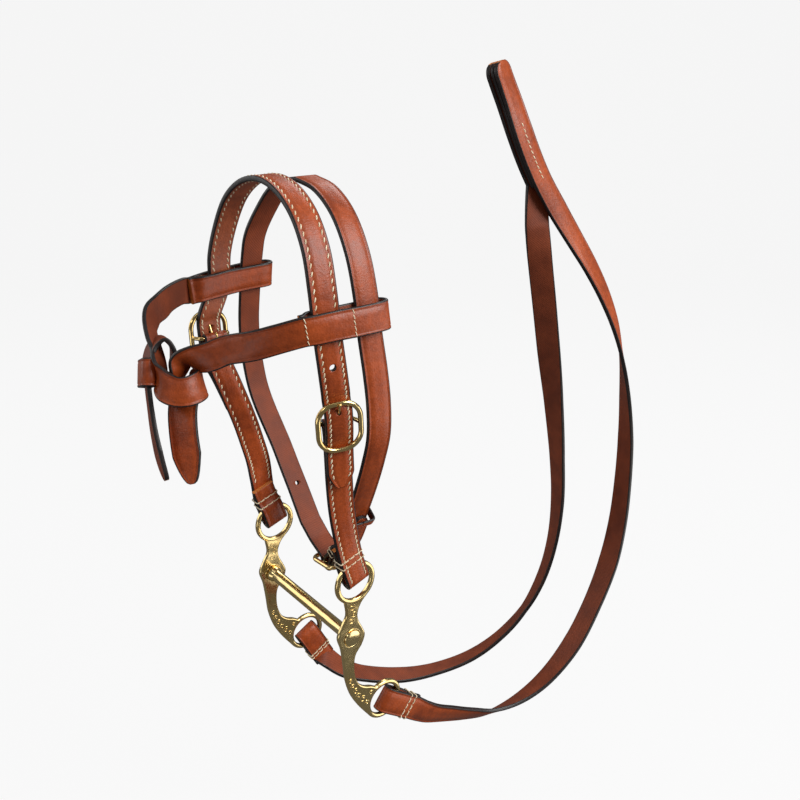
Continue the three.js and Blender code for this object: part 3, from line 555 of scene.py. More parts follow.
def bound_thread(prefix, index, frame, size, body):
    """Binding thread round a stack of leather, sunk between its dashes on the two faces."""
    w = size[0] + 2 * THREAD
    h = size[1] + 2 * THREAD - 0.1
    points = []
    corners = dense([Vector((x, y, 0)) for x, y in rounded_rectangle(w, h, 0.8, 6)], 0.3, True)
    for c in corners:
        on_face = abs(c.y) > h / 2 - 0.1 and abs(c.x) < w / 2 - 1.2
        off = (c.x / DASH_PITCH) % 1.0 - 0.5
        sunk = math.cos(off * math.pi / (2 * DASH_GAP)) if on_face and abs(off) < DASH_GAP else 0.0
        points.append(frame.at(c.x, c.y * (1 - sunk / (h / 2))))
    name, node = f"{prefix}_binding_{index + 1}", f"{prefix}_thread_{index + 1}"
    wires(name, [points], THREAD, body, LINEN, [node], closed=True, sides=10, slot="thread")


def band(name, frame, inside, thickness, height, body, nodes, **options):
    """A flat strap closed round a stack, with its joint at the back."""
    mid = [size + thickness for size in inside]
    ring = [Vector((x, y, 0)) for x, y in rounded_rectangle(mid[0], mid[1], 0.5 + thickness / 2, 8)]
    ring = dense(ring, 0.5, True)
    back = min(range(len(ring)), key=lambda i: abs(ring[i].x) + (0 if ring[i].y < 0 else 100))
    ring = ring[back:] + ring[:back + 1]
    along = frame.a.cross(frame.n)
    path = [(frame.at(c.x, c.y), along) for c in ring]
    middle = path[len(path) // 2]
    travel = path[len(path) // 2 + 1][0] - middle[0]
    side = 1 if travel.cross(along).dot(middle[0] - frame.p) > 0 else -1
    return strap(name, path, thickness, lambda s, total: height, body, nodes, side=side, **options)


def carve(obj, cutter):
    """Cuts a solid out of a piece; the new walls take the cutter's material index."""
    show(cutter)
    for material in obj.data.materials:
        cutter.data.materials.append(material)
    modifier = obj.modifiers.new("cut", "BOOLEAN")
    modifier.object = cutter
    modifier.operation = "DIFFERENCE"
    modifier.solver = "EXACT"
    bpy.context.view_layer.update()
    graph = bpy.context.evaluated_depsgraph_get()
    mesh = bpy.data.meshes.new_from_object(obj.evaluated_get(graph))
    obj.modifiers.clear()
    obj.data = mesh
    bpy.data.objects.remove(cutter)


def punch(obj, start, end, radius):
    """A round hole through a strap, painted inside like its edges."""
    bm = bmesh.new()
    along = end - start
    round_ends = {"radius1": radius * MM, "radius2": radius * MM}
    bmesh.ops.create_cone(bm, cap_ends=True, segments=28, depth=along.length * MM, **round_ends)
    for face in bm.faces:
        face.material_index = 1
        face.smooth = len(face.verts) == 4
    cutter = bpy.data.objects.new("punch", finished(bm, "punch"))
    turn = along.to_track_quat("Z", "Y").to_matrix().to_4x4()
    cutter.matrix_world = Matrix.Translation(place((start + end) / 2)) @ turn
    carve(obj, cutter)


# ---- stitching
def stitch(at, direction, out):
    """One stitch: where it lies, the way it runs and the way it faces."""
    return (at, direction.normalized(), out)


def stitched_rows(frames, lift, half_at, start=0.0, end=1e9):
    """Two slanted rows along a strap, half_at(s) either side of its middle."""
    out = []
    due = start
    for f in frames:
        if due > f.s or f.s > end:
            continue
        due = f.s + STITCH_DUE
        half = half_at(f.s)
        narrower = half_at(f.s - 0.5) - half_at(f.s + 0.5)
        for side in (-1, 1):
            lean = f.t + f.a * (STITCH_SLANT - side * narrower)
            out.append(stitch(f.at(side * half, lift), lean, f.n * (1 if lift >= 0 else -1)))
    return out


def sew(name, stitches, body, radius=STITCH_RADIUS):
    """Stitches as small oval threads, half sunk in the leather."""
    bm = bmesh.new()
    shape = ((-0.5, 0.25), (-0.42, 0.7), (-0.2, 1.0), (0.2, 1.0), (0.42, 0.7), (0.5, 0.25))
    for at, t, out in stitches:
        b = t.cross(out).normalized()
        n = b.cross(t)
        rings = []
        for along, size in shape:
            r = radius * size
            centre = at + t * (along * STITCH_LENGTH) - n * (0.18 * (2 * along) ** 2)
            around = [centre + b * r * 1.2 * math.cos(q) + n * r * math.sin(q) for q in turns(8)]
            rings.append([bm.verts.new(place(q)) for q in around])
        bridge(bm, rings)
        bm.faces.new(rings[0][::-1])
        bm.faces.new(rings[-1])
    return new_object(name, finished(bm, name, LINEN), body, (), "thread")


# ---- cheekpieces
FOLD_CENTRE = Vector((BIT_X, 3.4, 35.4))
FOLD_DOWN = Vector((0, 0.29, -0.957)).normalized()
FOLD_ACROSS = Vector((0, -0.957, -0.29)).normalized()
OUTWARD = Vector((1, 0, 0))
BILLET_HIGH = BAR_RADIUS + BAR_AIR + LAYER + 0.5 + DOUBLE
BILLET_LOW = DOUBLE / 2 + AIR + DOUBLE
END_BAR = 11.75
FRAME_LIFT = BILLET_LOW + AIR + FRAME_WIRE
CURL = BAR_RADIUS + BAR_AIR + PRONG_WIRE
BUCKLE_WIDTH = 20
BUCKLE_CORNER = 8.2
PRONG_PAST = 1.2                        # how far a tongue reaches past its frame
PRONG_AIR = 0.3                         # round a tongue in its slot


def from_fold(up, out):
    return FOLD_CENTRE - FOLD_DOWN * up + OUTWARD * out


def prong_root(bar, down, out):
    """Where a tongue leaves its curl, 15 degrees round from the outward side."""
    return bar + out * (CURL * 0.966) + down * (CURL * 0.259 - 0.3)


class CheekLine:
    """A buckle bar and the outer face of the cheekpiece below it, both on the +X side."""

    def __init__(self, bar, middle):
        self.bar = bar
        self.face = route([
            (self.beside_bar(0, DOUBLE / 2), bar.a),
            (self.beside_bar(9.5, DOUBLE / 2), bar.a),
            *middle,
            (from_fold(12.5, FOLD_HALF + DOUBLE), FOLD_ACROSS),
            (from_fold(6, FOLD_HALF + DOUBLE), FOLD_ACROSS),
            (from_fold(0, FOLD_HALF + DOUBLE), FOLD_ACROSS),
        ], -1)

    def beside_bar(self, down, out):
        return self.bar.at(0, out, down)

    def prong_root(self):
        return prong_root(self.bar.p, self.bar.t, self.bar.n)

    def prong_tip(self):
        return self.beside_bar(-END_BAR - PRONG_PAST, FRAME_LIFT + FRAME_WIRE + PRONG_WIRE + 1.05)


LINES = {
    "near": CheekLine(Station((42.5, -7.8, 124.5), (-0.0686, 0.0857, -0.994), (-0.3, -1, 0.12), -1), through(
        (43.3, -7.33, 106.4, -0.3, -1, 0.1), (42.4, -6.35, 91.6, -0.28, -1, 0.12),
        (41.8, -4.85, 75.9, -0.2, -1, 0.1), (42, -2.5, 59.6, -0.1, -1, 0),
    )),
    "far": CheekLine(Station((44.8, -20.7, 145.6), (-0.05, -0.02, -1), (-0.08, -1, 0), -1), through(
        (45.4, -14.8, 118, 0.15, -1, -0.2), (45.1, -7.9, 97.5, 0.3, -0.95, -0.2),
        (44.2, -4.4, 83, 0.3, -0.95, -0.22), (43.2, -2.2, 71, 0.2, -0.97, -0.25),
        (42, -1.8, 59.5, 0, -0.98, -0.2),
    )),
}


def cheek_path(line):
    """One strip: up the outside, round the buckle bar, down as the lining and round the eye."""
    bar_radius = BAR_RADIUS + BAR_AIR + LAYER / 2
    spread = bar_radius - (LAYER + LAYER_GAP) / 2

    def layer(depth, sign):
        return [(f.at(0, sign * spread * (1 - ease(f.s / 7)) - depth), f.a) for f in line.face]

    def rise(radius):
        ups = (4, 6, 8, 9.5, 11, 12.5, 14, 16, 18, 20, 22)
        closer = [(2 * FOLD_HALF - 0.5) * ease((up - 8) / 7) for up in ups]
        return [(from_fold(up, -radius + c), FOLD_ACROSS) for up, c in zip(ups, closer)]

    def fold(radius):
        return arc(FOLD_CENTRE, OUTWARD, FOLD_DOWN, radius, FOLD_ACROSS, 8, 180, 20)

    small = FOLD_HALF + LAYER / 2
    large = small + LAYER + LAYER_GAP
    bend = arc(line.bar.p, line.bar.n, line.bar.t, bar_radius, line.bar.a, 352, 188, 18)
    outside = rise(large)[::-1] + fold(large)[::-1] + layer(LAYER / 2, 1)[::-1]
    inside = layer(LAYER * 1.5 + LAYER_GAP, -1) + fold(small) + rise(small)
    return outside + bend[1:-1] + inside


def cheekpiece(side):
    far = side == "far"
    line = LINES[side]
    path = mirrored(cheek_path(line)) if far else cheek_path(line)
    strap(
        f"{side}_cheek_strip", path, LAYER, lambda s, total: STRAP_WIDTH, "headstall", [f"{side}_cheekpiece"],
        side=-1 if far else 1, crease=STITCH_INSET, faces=(LEATHER, EDGE, TAN_DARK), ends=RAW,
    )
    frames = mirror_route(line.face) if far else line.face
    half = STRAP_WIDTH / 2 - STITCH_INSET
    rows = stitched_rows(frames, STITCH_LIFT, lambda s: half, 4)
    rows += stitched_rows(frames, -DOUBLE - STITCH_LIFT, lambda s: half, 4, line.face[-1].s - 24)
    sew(f"{side}_cheek_stitching", rows, "headstall")
    for index, (up, closer) in enumerate(((11.4, 1.0), (15.2, 2.3))):
        frame = Station(from_fold(up, closer / 2), FOLD_DOWN, FOLD_ACROSS)
        if far:
            frame = mirror_route([frame])[0]
        depth = 2 * (FOLD_HALF + DOUBLE) - closer
        bound_thread(f"{side}_cheek", index, frame, (STRAP_WIDTH, depth), "headstall")


# ---- headpiece
NEAR_CROWN = through(
    (0, -11, 229.5, 0, -1, 0), (16, -11.3, 226.3, -0.03, -1, 0),
    (30, -12, 217.3, -0.07, -1, 0.02), (40, -13, 203.5, -0.12, -1, 0.05),
    (45.8, -14.3, 187, -0.16, -1, 0.06), (48, -14.2, 170, -0.2, -1, 0.08),
    (48.9, -12.8, 153, -0.25, -1, 0.1), (48.4, -11.3, 142, -0.28, -1, 0.11),
)
HEAD_HOLE = (153, 1.6)                  # z, radius
BILLET_POINT = 8.0
POINT_TIP = 2.5


def billet_stations(line):
    """The end of the headpiece: through the buckle and down the outside of a cheekpiece."""
    thirds = [line.face[i * PER_SPAN // 3] for i in (5, 7, 9)]
    on_cheek = [(f.at(0, DOUBLE + AIR + 0.05), f.a) for f in thirds]
    return [
        (line.beside_bar(-END_BAR - 0.4, BILLET_LOW), line.bar.a),
        (line.beside_bar(-8, BILLET_HIGH + 0.6), line.bar.a),
        (line.beside_bar(-3, BILLET_HIGH + 0.8), line.bar.a),
        (line.beside_bar(3, BILLET_HIGH + 0.3), line.bar.a),
        (line.beside_bar(END_BAR, BILLET_LOW + 0.05), line.bar.a),
    ] + on_cheek


FAR_CROWN = NEAR_CROWN[:4] + through(
    (45.9, -14.9, 187, -0.16, -1, 0.06), (48, -15.6, 170.5, -0.22, -1, 0.06),
)
FAR_HEAD = FAR_CROWN + billet_stations(LINES["far"])
HEAD_FACE = route(mirrored(FAR_HEAD[1:])[::-1] + NEAR_CROWN + billet_stations(LINES["near"]), -1)


def pointed(width, length, tip, both=False):
    def at(s, total):
        left = min(s, total - s) if both else total - s
        return tip + (width - tip) * math.sqrt(max(left, 0.0) / length) if left < length else width
    return at


def punch_at(piece, frames, z, radius):
    hole = min(frames, key=lambda f: abs(f.p.z - z))
    punch(piece, hole.at(0, 3), hole.at(0, -6), radius)


def prong_slot(piece, root, tip, turn=Vector):
    along = (tip - root).normalized()
    punch(piece, turn(root - along * 3), turn(tip + along * 3), PRONG_WIRE + PRONG_AIR)


def headpiece():
    total = HEAD_FACE[-1].s
    width = pointed(STRAP_WIDTH, BILLET_POINT, POINT_TIP, True)
    nodes = ["headpiece_outer", "headpiece_lining"]
    piece = strap(
        "headpiece", line_of(HEAD_FACE, -DOUBLE / 2), DOUBLE, width, "headstall", nodes,
        side=-1, crease=STITCH_INSET, faces=(LEATHER, EDGE, TAN_DARK),
    )
    punch_at(piece, [f for f in HEAD_FACE if f.p.x > 0], *HEAD_HOLE)
    for side, turn in (("near", Vector), ("far", flipped)):
        prong_slot(piece, LINES[side].prong_root(), LINES[side].prong_tip(), turn)

    def half(s):
        return max(width(s, total) / 2 - STITCH_INSET, 0.3)

    rows = []
    for lift in (STITCH_LIFT, -DOUBLE - STITCH_LIFT):
        rows += stitched_rows(HEAD_FACE, lift, half, 3.5, total - 3.5)
    sew("headpiece_stitching", rows, "headstall")


# ---- buckles
def buckle_prong(name, bar, down, out, across, tip, body, node, far=False):
    curl = [p for p, _ in arc(bar, out, down, CURL, across, 268, 30, 18)]
    points = curl + dense([prong_root(bar, down, out), tip], 0.4)
    if far:
        points = [flipped(p) for p in points]
    wires(name, [points], PRONG_WIRE, body, BRASS, [node])


def cheek_buckle(side):
    far = side == "far"
    line = LINES[side]
    bar_at = line.bar
    centre = bar_at.at(0, FRAME_LIFT)
    corners = rounded_rectangle(BUCKLE_WIDTH, 2 * END_BAR, BUCKLE_CORNER, 14)
    ring = dense([centre + bar_at.a * x + bar_at.t * y for x, y in corners], 0.6, True)
    half = BUCKLE_WIDTH / 2
    drop = ((half, FRAME_LIFT - 0.2), (9.2, 3), (8, 0.8), (6.8, 0))
    bar = [bar_at.at(x, y) for x, y in (*drop, *((-x, y) for x, y in drop[::-1]))]
    bar = [p for p, _ in curve_points(bar, 8)]
    if far:
        ring = [flipped(p) for p in ring]
        bar = [flipped(p) for p in bar]
    node = f"{side}_cheek_buckle_frame"
    wires(f"{side}_buckle_ring", [ring], FRAME_WIRE, "headstall", BRASS, [node], closed=True, sides=20)
    wires(f"{side}_buckle_bar", [bar], BAR_RADIUS, "headstall", BRASS, sides=16)
    buckle_prong(
        f"{side}_buckle_tongue", bar_at.p, bar_at.t, bar_at.n, bar_at.a, line.prong_tip(),
        f"{side}_prong", f"{side}_cheek_buckle_prong", far,
    )


# ---- throatlatch
THROAT_BAR = Vector((5.6, 14.5, 25.7))
NEAR_THROAT = through(
    (0, 8.5, 227.5, 0, -1, 0), (16, 8.5, 224.3, 0, -1, 0),
    (30, 8.2, 215, 0, -1, 0), (41, 7.6, 199.5, -0.03, -1, 0.02),
    (47, 7.2, 182, -0.06, -1, 0.02), (50.4, 6.8, 165, -0.08, -1, 0),
    (54, 7, 147, -0.1, -1, 0), (55.1, 7.7, 132, -0.1, -1, 0),
    (53.6, 8.6, 116, -0.1, -1, 0.04), (48.5, 9, 100, -0.1, -1, 0.06),
    (42, 9.8, 85, -0.1, -1, 0.08), (34.5, 11, 70, -0.08, -1, 0.08),
    (26.5, 12.4, 55, -0.05, -1, 0.05),
)
LEG_UP = Vector((0.56, 0, 0.829)).normalized()
LEG_OUT = Vector((0.829, 0, -0.56)).normalized()
BUCKLE_ACROSS = Vector((0, -1, 0))
THROAT_E = Vector((1, 0, 0.08)).normalized()
THROAT_OUT = Vector((0.08, 0, -1)).normalized()
THROAT_HALF = 9                         # of the buckle, along and across
THROAT_CORNER = 4
THROAT_HOLE = (58, 1.2)                 # z, radius
THROAT_LIFT = FRAME_WIRE + 0.4 + PRONG_WIRE
THROAT_TIP = THROAT_BAR - THROAT_E * (THROAT_HALF + PRONG_PAST) + THROAT_OUT * THROAT_LIFT


def on_leg(up, out):
    return THROAT_BAR + LEG_UP * up + LEG_OUT * out + BUCKLE_ACROSS * (0.055 * up)


def leg_line(places):
    return [(on_leg(up, out), BUCKLE_ACROSS) for up, out in places]


def swayed(stations):
    """The far leg hangs a little farther forward."""
    out = []
    for p, across in stations:
        forward = FAR_SWAY * ease((215 - p.z) / 25) * ease((p.z - 75) / 40)
        out.append((p - Vector((0, forward, 0)), across))
    return out


def throat_path():
    t = THROAT_THICKNESS
    fold_radius = BAR_RADIUS + BAR_AIR + t / 2
    billet_radius = fold_radius + t + AIR
    stack = (t + AIR) / 2
    main = ((28, 0.8), (22, 1), (15, stack), (9, stack), (5.5, stack + 0.2), (3, fold_radius - 0.35))
    back = ((2.5, -fold_radius + 0.25), (5.5, -stack - 0.2), (9, -stack), (12, -stack), (15, -stack))
    rider = (
        (4, 4.4), (7, 4.15), (10, 4.15), (15, 4.15), (22, 4), (28, 3.7), (36, 2.8), (41, 2.2), (46.5, 1.6),
    )
    approach = ((-17, 13.6, 39.5), (-9, 14.2, 32), (-3.8, 14.4, 29), (-0.6, 14.5, 27.2))
    fold = arc(THROAT_BAR, LEG_OUT, LEG_UP, fold_radius, BUCKLE_ACROSS, 0, -180, 16)
    bend = arc(THROAT_BAR, LEG_OUT, LEG_UP, billet_radius, BUCKLE_ACROSS, -150, -12, 16)
    near = line_of(route(NEAR_THROAT, -1), -t / 2)
    path = leg_line(back[::-1]) + fold[::-1] + leg_line(main[::-1])
    path += near[::-1] + swayed(mirrored(near[1:]))
    path += [(Vector(p), BUCKLE_ACROSS) for p in approach]
    return path + bend + leg_line(rider)


def throatlatch():
    width = pointed(THROAT_WIDTH, 7, 3)
    piece = strap("throat_strap", throat_path(), THROAT_THICKNESS, width, "headstall", ["throatlatch"])
    punch_at(piece, mirror_route(route(NEAR_THROAT, -1)), *THROAT_HOLE)
    prong_slot(piece, prong_root(THROAT_BAR, THROAT_E, THROAT_OUT), THROAT_TIP)
    ring = rounded_rectangle(2 * THROAT_HALF, 2 * THROAT_HALF, THROAT_CORNER, 10)
    ring = dense([THROAT_BAR + BUCKLE_ACROSS * x + THROAT_E * y for x, y in ring], 0.6, True)
    node = "throat_buckle_frame"
    wires("throat_ring", [ring], FRAME_WIRE, "headstall", BRASS, [node], closed=True, sides=20)
    bar = dense([THROAT_BAR + BUCKLE_ACROSS * half for half in (THROAT_HALF, -THROAT_HALF)], 0.6)
    wires("throat_bar", [bar], BAR_RADIUS, "headstall", BRASS, sides=16)
    buckle_prong(
        "throat_tongue", THROAT_BAR, THROAT_E, THROAT_OUT, BUCKLE_ACROSS, THROAT_TIP,
        "throat_prong", "throat_buckle_prong",
    )
    frame = Station(on_leg(44, 0.35), LEG_UP, (-0.06, -1, 0.06), -1)
    inside = (THROAT_WIDTH + 1.4, 6.8)
    band("throat_loop", frame, inside, 1.2, 4.5, "throat_keeper", ["throat_keeper"], crease=0.9)
    for index, up in enumerate((8.5, 12)):
        frame = Station(on_leg(up, 0), LEG_UP, BUCKLE_ACROSS)
        bound_thread("throat", index, frame, (THROAT_WIDTH, 2 * THROAT_THICKNESS + AIR), "headstall")


# ---- browband and its knot
BROW_TILT = (-0.2, 0, 1)
BROW_LOOP = through(
    (43.6, -25.4, 171.2, 0.02, 0, 1), (43.9, -23.4, 171.4, 0.02, 0, 1),
    (42.6, -20.6, 171.7, -0.08, 0, 1), (43.6, -14, 171.8, -0.14, 0, 1),
    (44.5, -7.5, 172.1, -0.14, 0, 1), (45.2, 0, 172.3, *BROW_TILT),
    (45.2, 7, 172.5, *BROW_TILT), (45.3, 12.6, 172.5, *BROW_TILT),
    (46.6, 15.6, 172.5, *BROW_TILT), (48.9, 16.5, 172.5, *BROW_TILT),
    (51.2, 15.4, 172.5, *BROW_TILT), (52.3, 12.4, 172.5, *BROW_TILT),
    (52.6, 6.8, 172.5, *BROW_TILT), (51.9, -1, 172.3, *BROW_TILT),
    (50.7, -7.8, 172.1, *BROW_TILT), (49.6, -14, 171.8, -0.14, 0, 1),
    (48, -20.2, 171.3, -0.08, 0, 1), (46.3, -24.6, 171, 0.02, 0, 1),
)
LOOP_MIDDLE = 46.5
FAR_LOOP = [
    (((x + LOOP_MIDDLE) * FAR_STRETCH - LOOP_MIDDLE, y * FAR_STRETCH - FAR_SWAY, z), across)
    for (x, y, z), across in mirrored(BROW_LOOP)
]
NEAR_KNOT = through(
    (40.3, -33.1, 168.3, 0.1, 0, 1), (31.5, -41.4, 164.5, 0.1, 0.1, 1),
    (19.3, -47.7, 160.7, -0.18, 0.21, 0.96), (13.8, -53.5, 157.4, -0.17, 0.07, 0.98),
    (8.1, -57.9, 155.8, -0.06, -0.34, 0.94), (3, -60.9, 154.1, 0.18, -0.79, 0.58),
    (1.8, -62.4, 148.7, 0.54, -0.7, 0.46), (0.4, -63.9, 143.8, 0.75, -0.47, 0.47),
    (-2.7, -64.6, 141.9, 0.84, -0.54, 0.06), (-6.1, -61.8, 146.1, 0.92, -0.35, 0.16),
    (-7.2, -60.3, 151.8, 0.95, -0.26, 0.15), (-8.5, -59.9, 157.8, 0.94, -0.31, 0.11),
    (-10.7, -62.7, 161.6, 0.97, -0.12, 0.15), (-11.7, -66.9, 159.6, 0.97, -0.1, 0.2),
    (-10.5, -70.5, 154.4, 0.96, -0.11, 0.25), (-8.7, -72.6, 149.1, 0.91, -0.22, 0.34),
    (-6.4, -73.9, 142.6, 0.9, -0.27, 0.35), (-3.1, -75.2, 134.2, 0.9, -0.27, 0.35),
    (2, -76.8, 123.3, 0.91, -0.23, 0.34), (8.1, -77.8, 112.5, 0.93, -0.17, 0.34),
    (13, -78, 105.5, 0.94, -0.11, 0.32),
)
FAR_KNOT = through(
    (-43.3, -36.2, 172.1, 0.1, 0, 1), (-37, -46, 171.7, 0.1, -0.1, 1),
    (-30, -53.8, 170.6, 0.1, -0.3, 0.9), (-26.4, -59.6, 168.9, 0.35, -0.58, 0.72),
    (-21.4, -63.8, 165.6, 0.45, -0.64, 0.6), (-14.6, -65.8, 160.2, 0.3, -0.7, 0.64),
    (-9.4, -66.6, 156, 0.15, -0.6, 0.78), (-4.4, -68.4, 152.6, 0.04, -0.43, 0.9),
    (1.2, -71.6, 148.7, -0.07, 0.19, 0.98), (7.2, -71.4, 145.7, -0.23, 0.31, 0.92),
    (11.3, -68.2, 144, -0.26, 0.27, 0.93), (13.2, -63.4, 143.9, -0.35, 0.16, 0.92),
    (11.8, -57.7, 144.7, -0.41, 0.07, 0.91), (7.3, -54.7, 144.7, -0.55, 0.04, 0.84),
    (2.8, -56.2, 143.1, -0.22, 0.46, 0.86), (1, -59.3, 139, 0.22, 0.89, 0.4),
    (2.9, -62.7, 132.9, 0.6, 0.8, 0.09), (7.2, -65.5, 124.2, 0.67, 0.74, 0.13),
    (12.6, -67.4, 113.5, 0.65, 0.74, 0.17), (18.1, -68.5, 102.5, 0.65, 0.74, 0.17),
)


OUTER_RUN = 12                          # the station where the loop's outer run starts
SEAMS_Y = (-24.0, -3.3)


def browband(side, stations, facing, pinch):
    """Half the browband; pinch = (where, how wide) gathers it inside the knot."""
    tail = pointed(STRAP_WIDTH, 13, 1.6)
    frames = route(stations, facing)
    where = frames[PER_SPAN * pinch[0]].s

    def width(s, total):
        gather = ease(1.6 - abs(s - where) / 9)
        return min(tail(s, total), STRAP_WIDTH - (STRAP_WIDTH - pinch[1]) * gather)

    strap(
        f"{side}_brow_half", line_of(frames), BROW_THICKNESS, width, "browband", [f"browband_{side}"],
        side=facing, ends=RAW,
    )
    outer = [f for f in frames[OUTER_RUN * PER_SPAN:] if abs(f.p.x) > 40]
    rows = []
    for y in SEAMS_Y:
        f = min(outer, key=lambda g: abs(g.p.y - y))
        for k in range(-2, 3):
            for face in (1, -1):
                at = f.at(k * STITCH_LENGTH, face * (BROW_THICKNESS / 2 + STITCH_LIFT))
                rows.append(stitch(at, f.a + f.t * 0.25, f.n * face))
    sew(f"{side}_brow_stitching", rows, "browband", 0.2)


def knot():
    browband("near", BROW_LOOP + NEAR_KNOT, -1, (len(BROW_LOOP) + 7, 12.6))
    browband("far", FAR_LOOP + FAR_KNOT, 1, (len(BROW_LOOP) + 5, 10.0))
    frame = Station((-8.3, -72.9, 148.2), (0.31, -0.26, -0.91), (0.92, -0.22, 0.34))
    band("knot_loop", frame, (14.2, 3.2), 1.7, 12.5, "knot_keeper", ["knot_keeper"], crease=1.4)


# ---- bit
def ring_points(ring, radius, start, end, steps):
    angles = [start + (end - start) * i / steps for i in range(steps + 1)]
    return [(ring[0] + radius * math.cos(a), ring[1] + radius * math.sin(a)) for a in angles]


def circle(ring, radius, count):
    return ring_points(ring, radius, 0, math.tau, count)[:-1]


def bearing(ring, y, z):
    return math.atan2(z - ring[1], y - ring[0])


def smooth_outline(points):
    return [(p.y, p.z) for p, _ in curve_points([(0, y, z) for y, z in points], 6)]


def cheek_outline():
    outline = ring_points(EYE, EYE[2], bearing(EYE, 10.4, 22.2), bearing(EYE, -3.4, 22.2) + math.tau, 40)
    outline += smooth_outline([
        (-3.4, 22.2), (-2.7, 14), (-5.5, 9), (-8.3, 3), (-6.5, -5), (-5.2, -16), (-4.4, -25),
        (-1.5, -36), (3.5, -46), (10.9, -57.2),
    ])[1:-1]
    start, end = bearing(REIN_RING, 10.9, -57.2), bearing(REIN_RING, 15.6, -39.9)
    outline += ring_points(REIN_RING, REIN_RING[2], start, end, 40)
    outline += smooth_outline([
        (15.6, -39.9), (12, -37.3), (8, -35.3), (4.5, -32), (2.3, -27), (1.4, -20), (2.5, -12),
        (6.5, -7), (8.6, -1.5), (7, 3.5), (4.8, 8.5), (4.2, 13), (6.5, 18.5), (10.4, 22.2),
    ])[1:-1]
    return outline


def cheek_plate(x):
    """The flat cheek with well-rounded edges, as a mesh in row metres."""
    curve = bpy.data.curves.new("cheek", "CURVE")
    curve.dimensions = "2D"
    curve.fill_mode = "BOTH"
    curve.bevel_depth = CHEEK_BEVEL
    curve.offset = -CHEEK_BEVEL
    curve.extrude = BIT_PLATE / 2 - CHEEK_BEVEL
    curve.bevel_resolution = 4
    holes = [circle(ring, ring[3], 48) for ring in (EYE, REIN_RING)]
    for outline in (cheek_outline(), *holes):
        spline = curve.splines.new("POLY")
        spline.points.add(len(outline) - 1)
        for point, (y, z) in zip(spline.points, outline):
            point.co = (y, z, 0, 1)
        spline.use_cyclic_u = True
    maker = bpy.data.objects.new("cheek", curve)
    show(maker)
    bpy.context.view_layer.update()
    mesh = bpy.data.meshes.new_from_object(maker.evaluated_get(bpy.context.evaluated_depsgraph_get()))
    bpy.data.objects.remove(maker)
    for vertex in mesh.vertices:
        y, z, off = vertex.co
        vertex.co = place((x + off, y, z))
    for face in mesh.polygons:
        face.use_smooth = abs(face.normal.z) < 0.99
    return mesh


def scroll(x, y, z, size, start, turn):
    """One raised curl on a cheek's face, winding in to its eye."""
    out = []
    for i in range(26):
        u = i / 25
        angle = math.radians(start + turn * 430 * u)
        r = size * (1 - 0.8 * u)
        out.append((x, y + r * math.cos(angle), z + r * math.sin(angle)))
    return out


def scrolls(x):
    """Generic leaf scrolls on the neck and down the shank of a cheek."""
    curls = []
    neck = ((0.4, 18.4, 2.1, 40), (1.6, 14.2, 1.8, 220), (-0.2, 10.6, 1.9, 30))
    shank = ((-1.6, -27, 1.5, 60), (-0.2, -31, 1.7, 240), (1.6, -35, 1.8, 50), (3.4, -39, 2.0, 230),
             (6.2, -42.6, 2.1, 40), (8.8, -46.4, 1.9, 220), (11.6, -41.2, 1.4, 10))
    for index, (y, z, size, start) in enumerate((*neck, *shank)):
        curls.append(scroll(x, y, z, size, start, 1 if index % 2 else -1))
    return curls


SCROLL_WIRE = 0.24
BOSS_WIRE = 0.22
BOSS_RADIUS = 5.2


def bit_cheek(side):
    x = -BIT_X if side == "far" else BIT_X
    mesh = cheek_plate(x)
    mesh.name = f"{side}_bit_cheek_plate"
    mesh.materials.clear()
    mesh.materials.append(BRASS)
    new_object(mesh.name, mesh, "bit", [f"{side}_bit_cheek"], "brass")
    rings = []
    for ring in (EYE, REIN_RING):
        middle = (ring[2] + ring[3]) / 2
        rings.append([(x, y, z) for y, z in circle(ring, middle, 72)])
    wires(f"{side}_bit_rings", rings, (EYE[2] - EYE[3]) / 2, "bit", BRASS, closed=True, sides=18)
    curls = []
    circles = []
    for face in (-1, 1):
        surface = x + face * BIT_PLATE / 2
        curls += scrolls(surface + face * 0.02)
        circles.append([(surface, y, z) for y, z in circle((0, 0), BOSS_RADIUS, 48)])
    wires(f"{side}_bit_scrolls", curls, SCROLL_WIRE, "bit", BRASS_CUT, sides=8)
    wires(f"{side}_boss_lines", circles, BOSS_WIRE, "bit", BRASS_CUT, closed=True, sides=8)


def mouthpiece():
    """A round bar turned with a collar inside each cheek and a riveted cap outside it."""
    inside = BIT_X - BIT_PLATE / 2 - 0.05
    outside = BIT_X + BIT_PLATE / 2 + 0.05
    profile = [
        (3.3, 0), (3.3, inside - 4.6), (3.4, inside - 4.3), (3.8, inside - 3.6), (4.3, inside - 2.4),
        (4.6, inside - 1.5), (4.6, inside - 0.3), (4.3, inside), (1.7, inside), (1.7, outside),
        (4.3, outside), (4.6, outside + 0.25), (4.45, outside + 0.6), (3.6, outside + 0.85),
        (1.8, outside + 1.0), (0, outside + 1.05),
    ]
    full = [(r, -x) for r, x in profile[::-1]] + profile[1:]
    bm = bmesh.new()
    rings = []
    for r, x in full:
        radius = max(r, 0.01)
        around = [(x, radius * math.cos(a), radius * math.sin(a)) for a in turns(56)]
        rings.append([bm.verts.new(place(q)) for q in around])
    bridge(bm, rings)
    bm.faces.new(rings[0])
    bm.faces.new(rings[-1])
    mesh = finished(bm, "mouthpiece_bar", BRASS)
    mesh.set_sharp_from_angle(angle=math.radians(50))
    new_object("mouthpiece_bar", mesh, "bit", ["bit_mouthpiece"], "brass")


